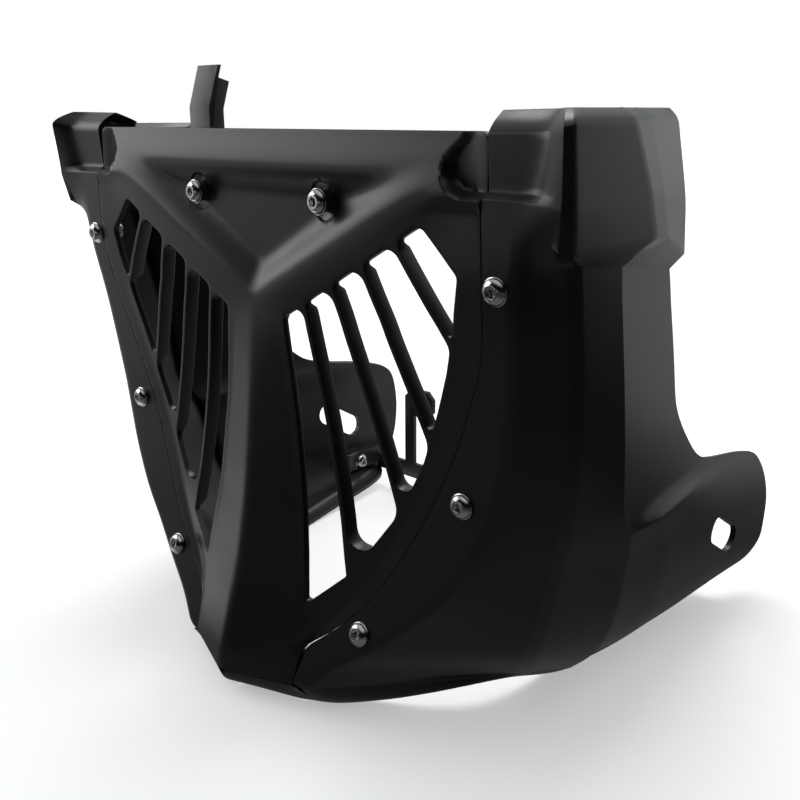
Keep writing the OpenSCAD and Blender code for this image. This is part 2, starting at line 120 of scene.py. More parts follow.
CREASE_X = [[-243.5, 41], [-231, 53], [-219, 68.5], [-203, 86.5], [-192, 98], [-180, 107],
            [-166, 115.3], [-152, 121], [-136, 125.3], [-122, 128], [-108, 130],
            [-94, 131.3], [-80, 132.6], [-66, 133.8], [-50, 134.6], [-38, 135.5],
            [-28.5, 137]]
EDGE_X = [[-243.5, 111], [-231, 116.5], [-219, 122.5], [-203, 130.5], [-180, 138],
          [-152, 144], [-122, 147.6], [-94, 149.4], [-66, 150.8], [-50, 152.2],
          [-28.5, 156]]
EDGE_Y = [[-243.5, 48], [-231, 43.5], [-219, 38], [-203, 33], [-180, 29], [-152, 26],
          [-122, 22.8], [-94, 19], [-66, 13.5], [-50, 8.5], [-38, 0], [-28.5, -3]]
EDGE_Z = [[-243.5, -237], [-231, -229.5], [-219, -219], [-203, -198], [-180, -170],
          [-152, -147], [-122, -120], [-94, -93], [-66, -67], [-50, -47.5], [-38, -44],
          [-28.5, -30]]
BAND_X = [[-243.5, 114], [-231, 127], [-219, 136], [-203, 143], [-180, 148.5],
          [-166, 150.3], [-152, 151], [-94, 152], [-50, 153.5], [-38, 155.6],
          [-28.5, 155.8]]
BAND_Y = [[-243.5, 84], [-231, 81], [-219, 77], [-203, 72.5], [-180, 68.5], [-166, 66],
          [-152, 57.5], [-122, 53], [-94, 48.5], [-66, 42], [-50, 38], [-38, 58],
          [-28.5, 53]]
BAND_Z = [[-243.5, -251], [-231, -237], [-219, -222], [-203, -202.5], [-180, -176],
          [-166, -167], [-152, -153], [-122, -122], [-94, -98], [-66, -69], [-50, -51.5],
          [-38, -43], [-28.5, -31]]
REAR_X = [[-243.5, 131], [-231, 137], [-219, 141], [-203, 141], [-180, 137],
          [-166, 138], [-152, 139.5], [-136, 141], [-122, 142], [-66, 142.3],
          [-50, 143], [-38, 144], [-28.5, 144]]
REAR_Y = [[-243.5, 212], [-231, 226], [-219, 236], [-203, 238], [-192, 233], [-180, 222],
          [-166, 186], [-152, 150], [-136, 130], [-122, 118], [-108, 111.5],
          [-94, 107.5], [-66, 99], [-50, 94], [-38, 86], [-28.5, 84]]
REAR_Z = [[-243.5, -244], [-231, -239], [-219, -226], [-203, -206], [-192, -187],
          [-180, -174.5], [-166, -165], [-152, -157.5], [-136, -142], [-122, -130],
          [-108, -119], [-94, -103], [-66, -74], [-50, -60], [-38, -55], [-28.5, -38]]
RIDGE_Y = [[-243.5, -33.6], [-235, -32.6], [-225, -29.4], [-210, -24.4], [-198, -20],
           [-171, -14.2], [-145, -10.2], [-119, -7.4], [-98, -5.3], [-84, -4],
           [-76, -2.6], [-70, 0.5], [-62, 3.2], [-50, 4]]
SPINE_X = [[-243.5, 34.6], [-228, 36], [-206, 35.8], [-185, 33], [-168, 30], [-145, 27],
           [-117, 23], [-82, 17]]
SPINE_Y = [[-243.5, -20.3], [-226, -15.4], [-206, -10.7], [-185, -7], [-168, -4],
           [-145, -2], [-117, -0.5], [-82, -2.4]]
ARM_Y = [[-72, -2.6], [-46, -3], [-33, -3], [-28.5, -2.6]]
LIP_REACH = [[-219, 21.5], [-203, 20], [-180, 20], [-152, 17.5], [-136, 15.5],
             [-108, 13], [-80, 11], [-50, 11.2], [-38, 11.2]]
SLATS = [[[31.3, -76.2], [55, -189]], [[48.2, -66.7], [78.5, -157]],
         [[65, -56.3], [91.5, -119.5]], [[82.3, -46.9], [104.8, -80]]]
OPENING = [[18.5, -81.5], [94, -38.4], [110.3, -55], [107, -74], [102.5, -92],
           [97, -109], [89.5, -131], [77.5, -156], [56, -187.5], [35.5, -206.5],
           [32.6, -185], [29.8, -168], [26.8, -145], [22.8, -117]]
SCREWS = [(127, -58), (109, -144), (65.5, -211)]
RIM = [[[110, 21, -4.5], [134, 22, -2], [144, 10, -1], [144, 36, -1], [137, 68, -1]],
       [[119.5, 12, 1], [142, 12, 1.3], [150, 3, 1.5], [150, 37, 1.5], [140, 71, 1.5]],
       [[120.6, 5, -2.6], [143.7, 4.5, -2.5], [154.8, -4, -1.2], [154.6, 38, -1.2],
        [142.3, 73, -1.2]],
       [[120.7, 2, -6.4], [144, 1.5, -6.4], [156.2, -6, -4], [156, 38, -4], [143, 74, -4]],
       [[120.7, 2.2, -20.3], [144, 1.7, -20.8], [156.2, -3.6, -18], [156, 48, -18],
        [143, 82, -18]]]
UNDERSIDE = [[[36, -15.5, -254], [44, -10, -255.3], [51, -5, -255.6], [58, 0, -254.5],
              [70, 8, -252], [86, 19, -246.2], [101, 37, -241.6], [106, 50, -243],
              [109.5, 65, -248.5], [111.5, 83, -253.6], [112, 96, -255.2],
              [113, 120, -255.6], [117, 150, -253], [122, 182, -250.8],
              [127, 205, -247.5]],
             [[30, -9, -255.2], [37, -3, -256.4], [43, 1, -257], [49, 6, -256],
              [60, 15, -253.6], [75, 26, -248.4], [90, 43, -244.6], [95, 55, -246],
              [99, 68, -250.5], [101, 84, -255.2], [102, 98, -256.8],
              [103, 121, -257.2], [107, 150, -254.6], [112, 181, -252.4],
              [117, 203, -249.4]]]
LEDGE_BACK = [3.3, 3.2, 3.1, 1.5]
CHIN_X = [0.15, 12, 24, 35, 40]
CHIN = [[-243.75, -33.4, -28.8, -24.2, -20, -20.4],
        [-250, -31.4, -26.6, -21.9, -17.3, -14.8],
        [-254, -26, -22, -18.4, -15.2, -11.6],
        [-255.2, -14, -12, -10, -8, -5]]


# tables and curves

def look(table, z):
    """Straight-line reading of a table."""
    return np.interp(z, [row[0] for row in table], [row[1] for row in table])


def smooth_look(table, z):
    """Reading of a table by a smooth curve that never overshoots its points."""
    xs = np.array([row[0] for row in table], float)
    ys = np.array([row[1] for row in table], float)
    return ease_through(xs, ys, z)


def ease_through(xs, ys, x):
    h = np.diff(xs)
    d = (np.diff(ys, axis=0).T / h).T
    m = np.zeros_like(ys)
    m[0], m[-1] = d[0], d[-1]
    same = d[:-1] * d[1:] > 0
    total = np.where(same, d[:-1] + d[1:], 1.0)
    m[1:-1] = np.where(same, 2 * d[:-1] * d[1:] / total, 0.0)
    x = np.clip(np.asarray(x, float), xs[0], xs[-1])
    k = np.clip(np.searchsorted(xs, x, side="right") - 1, 0, len(xs) - 2)
    t = (x - xs[k]) / h[k]
    hk = h[k]
    if ys.ndim > 1:
        t, hk = t[:, None], hk[:, None]
    return ((2 * t ** 3 - 3 * t ** 2 + 1) * ys[k] + (t ** 3 - 2 * t ** 2 + t) * hk * m[k]
            + (3 * t ** 2 - 2 * t ** 3) * ys[k + 1] + (t ** 3 - t ** 2) * hk * m[k + 1])


def mix(a, b, k):
    return a + (b - a) * k


def toward(a, b, d):
    return a + (b - a) * (d / np.linalg.norm(b - a))


def unit(v):
    return v / np.linalg.norm(v, axis=-1, keepdims=True)


# meshes

def new_mesh(name, points, faces):
    """Closed mesh from points in table millimetres, normals outward."""
    mesh = bpy.data.meshes.new(name)
    mesh.from_pydata(((np.asarray(points) + SHIFT) * MM).tolist(), [],
                     [tuple(int(i) for i in f) for f in faces])
    outward(mesh)
    return mesh


def outward(mesh):
    bm = bmesh.new()
    bm.from_mesh(mesh)
    bmesh.ops.recalc_face_normals(bm, faces=bm.faces)
    bm.to_mesh(mesh)
    bm.free()
    mesh.update()


def new_object(name, mesh):
    obj = bpy.data.objects.new(name, mesh)
    bpy.context.scene.collection.objects.link(obj)
    return obj


def settle(obj):
    """The modifiers of obj become its plain mesh."""
    shown = obj.evaluated_get(bpy.context.evaluated_depsgraph_get())
    mesh = bpy.data.meshes.new_from_object(shown)
    obj.modifiers.clear()
    obj.data = mesh
    mesh.name = obj.name
    return obj


def join(obj, *others):
    """The meshes of the others go into obj, and the others are removed."""
    bm = bmesh.new()
    for o in (obj,) + others:
        bm.from_mesh(o.data)
    bm.to_mesh(obj.data)
    bm.free()
    for o in others:
        bpy.data.objects.remove(o)
    return obj


def soften(obj, angle=40):
    """Smooth shading with sharp edges over the angle, and the edge attribute for wear."""
    mesh = obj.data
    mesh.shade_smooth()
    mesh.set_sharp_from_angle(angle=math.radians(angle))
    n = len(mesh.vertices)
    co = np.empty(n * 3)
    no = np.empty(n * 3)
    ed = np.empty(len(mesh.edges) * 2, dtype=np.int64)
    mesh.vertices.foreach_get("co", co)
    mesh.vertices.foreach_get("normal", no)
    mesh.edges.foreach_get("vertices", ed)
    co, no, ed = co.reshape(-1, 3), no.reshape(-1, 3), ed.reshape(-1, 2)
    run = co[ed[:, 1]] - co[ed[:, 0]]
    length = np.maximum(np.linalg.norm(run, axis=1), 1e-7)
    bend = np.einsum("ij,ij->i", no[ed[:, 1]] - no[ed[:, 0]], run) / length
    total, count = np.zeros(n), np.zeros(n)
    for side in (0, 1):
        np.add.at(total, ed[:, side], bend)
        np.add.at(count, ed[:, side], 1)
    worn = mesh.attributes.new("worn", "FLOAT", "POINT")
    worn.data.foreach_set("value", np.clip(total / np.maximum(count, 1), 0, 1).astype(np.float32))
    return obj


def wall_cage(name, front, back, crease, levels, tight_cols=(), tight_rows=()):
    """Closed wall between two grids of points, smoothed, with its rim edges kept tight.

    tight_cols and tight_rows hold (line, first, last, weight) for folds inside the grid.
    """
    rows, cols = front.shape[:2]
    k = rows * cols
    idx = np.arange(k).reshape(rows, cols)
    quads = np.stack([idx[:-1, :-1], idx[1:, :-1], idx[1:, 1:], idx[:-1, 1:]], -1).reshape(-1, 4)
    rim = np.concatenate([idx[0], idx[1:, -1], idx[-1, -2::-1], idx[-2:0:-1, 0]])
    after = np.roll(rim, -1)
    sides = np.stack([rim, rim + k, after + k, after], -1)
    faces = np.concatenate([quads, quads[:, ::-1] + k, sides])
    mesh = new_mesh(name, np.concatenate([front.reshape(-1, 3), back.reshape(-1, 3)]), faces)
    tight = {tuple(sorted(e)): crease for a in (rim, rim + k)
             for e in zip(a.tolist(), np.roll(a, -1).tolist())}
    runs = [(idx[i0:i1 + 1, j], w) for j, i0, i1, w in tight_cols]
    runs += [(idx[i, j0:j1 + 1], w) for i, j0, j1, w in tight_rows]
    for run, w in runs:
        for e in zip(run[:-1].tolist(), run[1:].tolist()):
            tight.setdefault(tuple(sorted(e)), w)
            tight.setdefault(tuple(sorted((e[0] + k, e[1] + k))), w / 2)
    values = [tight.get(tuple(sorted(e.vertices)), 0.0) for e in mesh.edges]
    mesh.attributes.new("crease_edge", "FLOAT", "EDGE").data.foreach_set("value", values)
    obj = new_object(name, mesh)
    sub = obj.modifiers.new("smooth", "SUBSURF")
    sub.levels = sub.render_levels = levels
    settle(obj)
    made = obj.data.attributes.get("crease_edge")
    if made:
        obj.data.attributes.remove(made)
    return obj


def cut(obj, *cutters):
    """Takes the cutters out of obj."""
    for tool in cutters:
        op = obj.modifiers.new("cut", "BOOLEAN")
        op.operation, op.solver, op.object = "DIFFERENCE", "EXACT", tool
        settle(obj)
        bpy.data.objects.remove(tool)
    return obj


def rings(name, stack, closed_ends=True):
    """Mesh lofted through rings of equal count; with closed_ends the first and last ring are filled.
    """
    stack = np.asarray(stack, float)
    n, m = stack.shape[:2]
    faces = [[i * m + j, i * m + (j + 1) % m, (i + 1) * m + (j + 1) % m, (i + 1) * m + j]
             for i in range(n - 1) for j in range(m)]
    if closed_ends:
        faces += [list(range(m))[::-1], [(n - 1) * m + j for j in range(m)]]
    mesh = bpy.data.meshes.new(name)
    mesh.from_pydata((stack.reshape(-1, 3) * MM).tolist(), [], faces)
    outward(mesh)
    return mesh


def rod(name, centre, axis, radius, length, count=40):
    """Cylinder in table millimetres, its middle at the centre."""
    turn = Vector((0, 0, 1)).rotation_difference(Vector(axis)).to_matrix()
    ring = [[radius * math.cos(2 * math.pi * j / count),
             radius * math.sin(2 * math.pi * j / count)] for j in range(count)]
    pts = [[list(turn @ Vector((x, y, h)) + Vector(centre)) for x, y in ring]
           for h in (-length / 2, length / 2)]
    mesh = rings(name, np.array(pts) + SHIFT)
    return new_object(name, mesh)


# side shells

# lines of a shell's grid: rim and ledge rows, then the flange; columns from seam to rear
LEDGE_ROW = 4
FLANGE_ROW = 6
SEAM_COLS = 3
REAR_COLS = (11, 12, 13)


def shell_row(p, c, e, s, r, step):
    """Row of a shell: seam, crease, front edge, band edge and rear edge; step ends the band."""
    p, c, e, s, r = (np.array(q, float) for q in (p, c, e, s, r))
    m = s + np.array(step)
    return [p, mix(p, c, 0.5), toward(c, p, 2), toward(c, e, 2), mix(c, e, 0.4),
            mix(c, e, 0.75), toward(e, c, 3), toward(e, s, 3), mix(e, s, 0.5),
            toward(s, e, 1), m, mix(m, r, 0.22), mix(m, r, 0.48), mix(m, r, 0.74), r]


def shell_keys():
    """Heights of the rows of a shell, a smooth one between each two of the tables from -50 down."""
    keys = [ROWS[0]]
    for a, b in zip(ROWS, ROWS[1:]):
        keys += [(a + b) / 2, b] if b < -38 and b != -50 else [b]
    return keys


def shell_face(drop, reach):
    rows = []
    for t in RIM:
        fall = np.array([0, 0, 0 if t[0][2] < -10 else -drop])
        rows.append(shell_row(t[0], t[1], t[2], t[3] + fall, t[4] + fall + [0, reach, 0],
                              [-3, 14, 0]))
    for z in shell_keys():
        y = smooth_look(FLANGE_Y, z)
        rows.append(shell_row(
            [smooth_look(PANEL_X, z) + GROOVE, y, z], [smooth_look(CREASE_X, z), y, z],
            [smooth_look(t, z) for t in (EDGE_X, EDGE_Y, EDGE_Z)],
            [smooth_look(t, z) for t in (BAND_X, BAND_Y, BAND_Z)],
            np.array([smooth_look(t, z) for t in (REAR_X, REAR_Y, REAR_Z)])
            + [0, reach if z > -45 else 0, 0],
            [-3.5, 1.5, 0] if z < -45 else [-3, 14, -2]))
    below, above = np.array(rows[LEDGE_ROW + 1]), np.array(rows[LEDGE_ROW])
    ledge = mix(below, above, LEDGE_FOOT)
    ledge[:SEAM_COLS, 1] = below[:SEAM_COLS, 1] + 0.1
    rows[LEDGE_ROW] = mix(below, above, LEDGE_UP)
    rows[LEDGE_ROW][:SEAM_COLS + 1, 1] = LEDGE_BACK
    rows.insert(LEDGE_ROW + 1, list(ledge))
    grid = np.array([list(r) for r in rows] + UNDERSIDE, float)
    for k, j in enumerate(REAR_COLS):
        tail = grid[:, j, 2] < TAIL_TOP
        grid[tail, j, 0] += TAIL_BULGE * math.sin(math.radians(60 * (k + 1))) + 1
    return grid


def inward(grid, t):
    """Vectors square to the grid, of length t, that point to the rear face."""
    a = np.empty_like(grid)
    b = np.empty_like(grid)
    a[1:-1], a[0], a[-1] = grid[2:] - grid[:-2], grid[1] - grid[0], grid[-1] - grid[-2]
    b[:, 1:-1], b[:, 0], b[:, -1] = (grid[:, 2:] - grid[:, :-2], grid[:, 1] - grid[:, 0],
                                     grid[:, -1] - grid[:, -2])
    return -t * unit(np.cross(unit(a), unit(b)))


def chin_grids():
    """Front and back of one half of the chin, under the panel's foot."""
    front = np.array([[[CHIN_X[j], r[j + 1], r[0]] for j in range(5)] for r in CHIN])
    v = inward(front, SHELL_WALL)
    v[:, :, 0] = 0
    v[0] = [0, SHELL_WALL, 0]
    return front, front + v


def mirrored(grid, side):
    return grid * np.array([side, 1, 1])


def flange_slope(z):
    return math.atan((look(FLANGE_Y, z + 3) - look(FLANGE_Y, z - 3)) / 6)


def flange_seat(x, z):
    """Place and outward axis of a screw on the flange."""
    a = flange_slope(z)
    return np.array([x, look(FLANGE_Y, z), z]), np.array([0, -math.cos(a), math.sin(a)])


def stadium(name, side, length=40.0, width=14.0, tilt=31.0):
    """Cutter for the slot in a tail."""
    a = math.radians(tilt)
    u = np.array([0, math.cos(a), -math.sin(a)])
    w = np.array([0, math.sin(a), math.cos(a)])
    r, reach = width / 2, (length - width) / 2
    ring = []
    for k in range(48):
        t = 2 * math.pi * k / 48
        c, s = math.cos(t), math.sin(t)
        ring.append((c * r + math.copysign(reach, c), s * r))
    stack = [[[side * x, *(np.array([180, -207]) + p * u[1:] + q * w[1:])] for p, q in ring]
             for x in (95.0, 160.0)]
    return new_object(name, rings(name, np.array(stack) + SHIFT))


def side_shell(name, side, drop, reach, levels):
    """One shell; its rim falls by drop at the rear, and its cap reaches back by reach."""
    face = shell_face(drop, reach)
    v = inward(face, SHELL_WALL)
    last = len(face) - 3
    v[LEDGE_ROW - 1:last + 1, :SEAM_COLS] = [0, SHELL_WALL, 0]
    row = {z: i + FLANGE_ROW for i, z in enumerate(shell_keys())}
    folds = [(2, FLANGE_ROW, last, 0.4), (3, FLANGE_ROW, last, 0.4), (6, 1, row[-38], 0.7),
             (7, 1, row[-38], 0.7), (6, row[-38], last, 1.3), (7, row[-38], last, 1.3),
             (9, 1, last, 1.6), (10, 1, last, 1.4), (11, row[-166], last, 0.8)]
    steps = [(1, 0, 14, 0.6), (3, 0, 14, 0.5), (4, 0, 5, 0.8), (5, 0, 5, 0.9),
             (row[-38], 5, 14, 1.0), (row[-50], 5, 14, 1.2), (row[-166], 9, 14, 0.9),
             (last, 3, 14, 0.5)]
    obj = wall_cage(name, mirrored(face, side), mirrored(face + v, side), 1.6, levels,
                    folds, steps)
    holes = []
    for x, z in SCREWS:
        seat, axis = flange_seat(side * x, z)
        holes.append(rod("hole", seat, axis, HOLE_R, 16))
    cut(obj, stadium("slot", side), *holes)
    front, back = chin_grids()
    chin = wall_cage("chin", mirrored(front, side), mirrored(back, side), 0.85, levels)
    join(obj, chin, tail_boss(side))
    return soften(obj)


def tail_boss(side):
    """Blind boss for the tail screw, in the bevel of the tail."""
    x0, (y0, z0) = TAIL_AT[0], TAIL_AT[1:]
    shape = [(x0, z0 + 6.5), (137, z0 + 6.5), (135.6, -237), (130, -242.5), (x0, -242.5)]
    stack = [[[side * x, y, z] for x, z in shape] for y in (y0 - 6, y0 + 6)]
    boss = new_object("boss", rings("boss", np.array(stack) + SHIFT))
    return cut(boss, rod("bore", (side * (x0 + 2), y0, z0), (1, 0, 0), SCREW_R, 8))


# grille panel

def spine_table():
    """Rows of the folded spine: height, seven half widths, seven depths."""
    rows = []
    for z in LOW_ROWS[::-1] + [-79]:
        px, fy, ry = look(PANEL_X, z), look(FLANGE_Y, z), look(RIDGE_Y, z)
        sx, sy = look(SPINE_X, z), look(SPINE_Y, z)
        c = min(sx - FOLD_INSET, px - LIP_INSET)
        d = max(px - BORDER_W, mix(c, px, 0.6))
        xs = [0, 2.5, c / 2, c, mix(c, d, 0.5), d, px]
        ys = [mix(ry, sy, max(x, RIDGE_FLAT) / sx) if x < sx
              else mix(sy, fy, min(1, (x - sx) / max(1, px - BORDER_W - sx))) for x in xs]
        rows.append((z, xs, ys))
    return rows


def step_up(x):
    """Smooth step of a value that runs from 0 to 1."""
    k = np.clip(x, 0, 1)
    return k * k * (3 - 2 * k)


class PanelFace:
    """Depth of the panel's front face at any place, creases rounded a little."""

    STEP = 0.25
    SPREAD = [(dx / 2, dz / 2) for dx in range(-3, 4) for dz in range(-3, 4)]
    BAND = [[-30, -2.8], [-25, -2.3], [-20, -0.7], [-12, 1.7], [-5.9, 4]]
    RECESS_TOP, RECESS_HALF, RECESS_LOW = -17.0, 106.0, -76.0
    RECESS_SLOPE = 15.0
    RECESS_TURN = 6.0
    POCKET_EDGE = [[-28, 106.5], [-17, 103.8], [-6, 112]]
    POCKET_LOW, POCKET_TURN = -27.0, 6.0
    POCKET_Y = 3.2
    POCKET_SCOOP = 1.8
    POCKET_WALL = 3.2
    HEAD_LOW, HEAD_HIGH = -86.0, -70.0
    BAND_LOW = -30.0
    ARM_FLAT, ARM_RUN = 4.0, 6.0
    ROUND_FOOT, ROUND_HEAD = 0.9, 2.0
    SCOOP_FROM, SCOOP_RUN = 120.5, 12.0
    DISH_EDGE = 0.5

    def __init__(self):
        rows = spine_table()
        zs = np.array([r[0] for r in rows], float)
        self.low = zs[0]
        fine = np.arange(zs[0], zs[-1] + self.STEP, self.STEP)
        self.xs = ease_through(zs, np.array([r[1] for r in rows], float), fine)
        self.ys = ease_through(zs, np.array([r[2] for r in rows], float), fine)

    def spine(self, x, z):
        at = np.clip((z - self.low) / self.STEP, 0, len(self.xs) - 1.001)
        k = at.astype(int)
        f = (at - k)[:, None]
        xs = self.xs[k] * (1 - f) + self.xs[k + 1] * f
        ys = self.ys[k] * (1 - f) + self.ys[k + 1] * f
        run = np.maximum(np.diff(xs, axis=1), 0.01)
        t = np.clip((x[:, None] - xs[:, :-1]) / run, 0, 1)
        return ys[:, 0] + (np.diff(ys, axis=1) * t).sum(axis=1)

    def head(self, x, z):
        """Top band, V arms and recess."""
        flange = smooth_look(FLANGE_Y, z)
        border = smooth_look(PANEL_X, z) - BORDER_W
        rim = self.RECESS_HALF * (z - self.RECESS_LOW) / (self.RECESS_TOP - self.RECESS_LOW)
        start = rim + self.ARM_FLAT
        out = step_up((x - start) / np.maximum(border - start, self.ARM_RUN))
        arm = mix(smooth_look(ARM_Y, z), flange, out)
        arm = np.where(z > self.BAND_LOW, smooth_look(self.BAND, z), arm)
        lean = math.hypot(self.RECESS_HALF, self.RECESS_TOP - self.RECESS_LOW)
        slant = ((z - self.RECESS_LOW) * self.RECESS_HALF
                 - x * (self.RECESS_TOP - self.RECESS_LOW)) / lean
        under = self.RECESS_TOP - z
        near = np.minimum(slant, under)
        turn = self.RECESS_TURN
        near = near - np.maximum(turn - np.abs(slant - under), 0) ** 2 / (4 * turn)
        return mix(arm, np.maximum(arm, RECESS_Y), step_up(near / self.RECESS_SLOPE))

    def raw(self, x, z):
        x = np.abs(x)
        k = step_up((z - self.HEAD_LOW) / (self.HEAD_HIGH - self.HEAD_LOW))
        return mix(self.spine(x, z), self.head(x, z), k)

    def depth(self, p):
        p = np.asarray(p, float)
        x, z = p[:, 0], p[:, 1]
        wide = mix(self.ROUND_FOOT, self.ROUND_HEAD, step_up((z + 90) / 20))
        y = sum(self.raw(x + dx * wide, z + dz * wide) for dx, dz in self.SPREAD)
        y /= len(self.SPREAD)
        dx = smooth_look(self.POCKET_EDGE, z) + self.POCKET_TURN - np.abs(x)
        dz = self.POCKET_LOW + self.POCKET_TURN - z
        far = np.hypot(np.maximum(dx, 0), np.maximum(dz, 0)) - self.POCKET_TURN
        far = far + np.minimum(np.maximum(dx, dz), 0)
        floor = self.POCKET_Y + self.POCKET_SCOOP * step_up(
            (self.SCOOP_FROM - np.abs(x)) / self.SCOOP_RUN)
        y = y + np.maximum(floor - y, 0) * step_up(0.5 - far / self.POCKET_WALL)
        r = np.hypot(np.abs(x) - TOP_AT[0], z - TOP_AT[2])
        return y + DISH_DEPTH * step_up((DISH_R + 0.2 - r) / self.DISH_EDGE)


def clip(poly, a, n, offset):
    """Part of a polygon where the distance from the line through a, along n, is over offset."""
    out = []
    for i, q in enumerate(poly):
        p = poly[i - 1]
        dp, dq = (p - a) @ n - offset, (q - a) @ n - offset
        if dp * dq < 0:
            out.append(p + (q - p) * (dp / (dp - dq)))
        if dq >= 0:
            out.append(q)
    return out


def round_corners(poly, radius):
    """Polygon with its corners over 15 degrees rounded; radius(point) gives each radius."""
    out = []
    n = len(poly)
    for i, a in enumerate(poly):
        b, c = poly[i - 1], poly[(i + 1) % n]
        u, v = unit(b - a), unit(c - a)
        half = math.acos(np.clip(u @ v, -1, 1)) / 2
        if half > math.radians(82):
            out.append(a)
            continue
        d = min(radius(a) / math.tan(half), np.linalg.norm(b - a) / 2.1,
                np.linalg.norm(c - a) / 2.1)
        centre = a + unit(u + v) * (d / math.cos(half))
        e, f, whole = a + u * d - centre, a + v * d - centre, math.pi - 2 * half
        out += [centre + (e * math.sin(whole - t) + f * math.sin(t)) / math.sin(whole)
                for t in np.linspace(0, whole, 9)]
    return out


def resample(poly, step):
    """Closed polygon with its long sides divided into steps."""
    out = []
    for i, a in enumerate(poly):
        b = poly[(i + 1) % len(poly)]
        n = max(1, round(np.linalg.norm(b - a) / step))
        out += [mix(a, b, k / n) for k in range(n)]
    return np.array(out)


def ccw(loop):
    x, z = loop[:, 0], loop[:, 1]
    area = (x * np.roll(z, -1) - np.roll(x, -1) * z).sum()
    return loop if area > 0 else loop[::-1]


def grown(loop, d):
    """Counterclockwise loop moved outward by d along its corner normals."""
    before, after = loop - np.roll(loop, 1, axis=0), np.roll(loop, -1, axis=0) - loop
    n = unit(unit(before) + unit(after))
    return loop + d * np.stack([n[:, 1], -n[:, 0]], -1)


def slat_frame(s):
    a, b = np.array(s[0]), np.array(s[1])
    d = unit(b - a)
    return a, np.array([-d[1], d[0]])


def gap_loops():
    """Outlines of the five gaps on the right, rounded where the slats run into the frame."""
    loops = []
    for k in range(len(SLATS) + 1):
        poly = [np.array(p, float) for p in OPENING]
        if k > 0:
            inner, n_in = slat_frame(SLATS[k - 1])
            poly = clip(poly, inner, n_in, SLAT_W / 2)
        if k < len(SLATS):
            outer, n_out = slat_frame(SLATS[k])
            poly = clip(poly, outer, -n_out, SLAT_W / 2)
        poly = [p for i, p in enumerate(poly) if np.linalg.norm(p - poly[i - 1]) > 1.5]
        middle = sum(p[1] for p in poly) / len(poly)

        def radius(p):
            low = p[1] < middle
            by_inner = k > 0 and abs((p - inner) @ n_in - SLAT_W / 2) < 0.5
            by_outer = k < len(SLATS) and abs((p - outer) @ n_out + SLAT_W / 2) < 0.5
            if k == 0 and low:
                return FOOT_R
            if low:
                return LOW_BEFORE if by_inner else LOW_AFTER
            return HIGH_AFTER if by_outer else HIGH_BEFORE

        loops.append(ccw(resample(round_corners(poly, radius), 1.5)))
    return loops


def circle(x, z, r, count=48):
    t = np.arange(count) * 2 * math.pi / count
    return np.stack([x + r * np.cos(t), z + r * np.sin(t)], -1)


def inside(points, loop):
    """True for each point inside the loop."""
    x, z = points[:, 0], points[:, 1]
    hit = np.zeros(len(points), bool)
    for (x0, z0), (x1, z1) in zip(loop, np.roll(loop, -1, axis=0)):
        cross = (z0 > z) != (z1 > z)
        if cross.any():
            at = x0 + (z - z0) * (x1 - x0) / ((z1 - z0) if z1 != z0 else 1e-9)
            hit ^= cross & (x < at)
    return hit


def reach_inside(points, loop):
    """Distance of each point from the loop where it lies inside it, else zero."""
    a, b = loop, np.roll(loop, -1, axis=0)
    best = np.full(len(points), 1e9)
    for p, q in zip(a, b):
        d = q - p
        t = np.clip(((points - p) @ d) / max(d @ d, 1e-9), 0, 1)
        best = np.minimum(best, np.linalg.norm(points - (p + t[:, None] * d), axis=1))
    return np.where(inside(points, loop), best, 0.0)


def panel_outline():
    """Border of the panel, right side and its mirror image."""
    top = PANEL_TOP - TOP_CORNER
    right = [np.array([float(smooth_look(PANEL_X, z)), z]) for z in np.arange(PANEL_FOOT, top, 2.0)]
    right.append(np.array([PANEL_HALF, top]))
    corner = [np.array([PANEL_HALF + TOP_CORNER * (math.cos(t) - 1), top + TOP_CORNER * math.sin(t)])
              for t in np.linspace(0.3, math.pi / 2, 5)]
    half = right + corner
    left = [p * np.array([-1, 1]) for p in half[::-1]]
    return ccw(resample(half + left, 2.0))


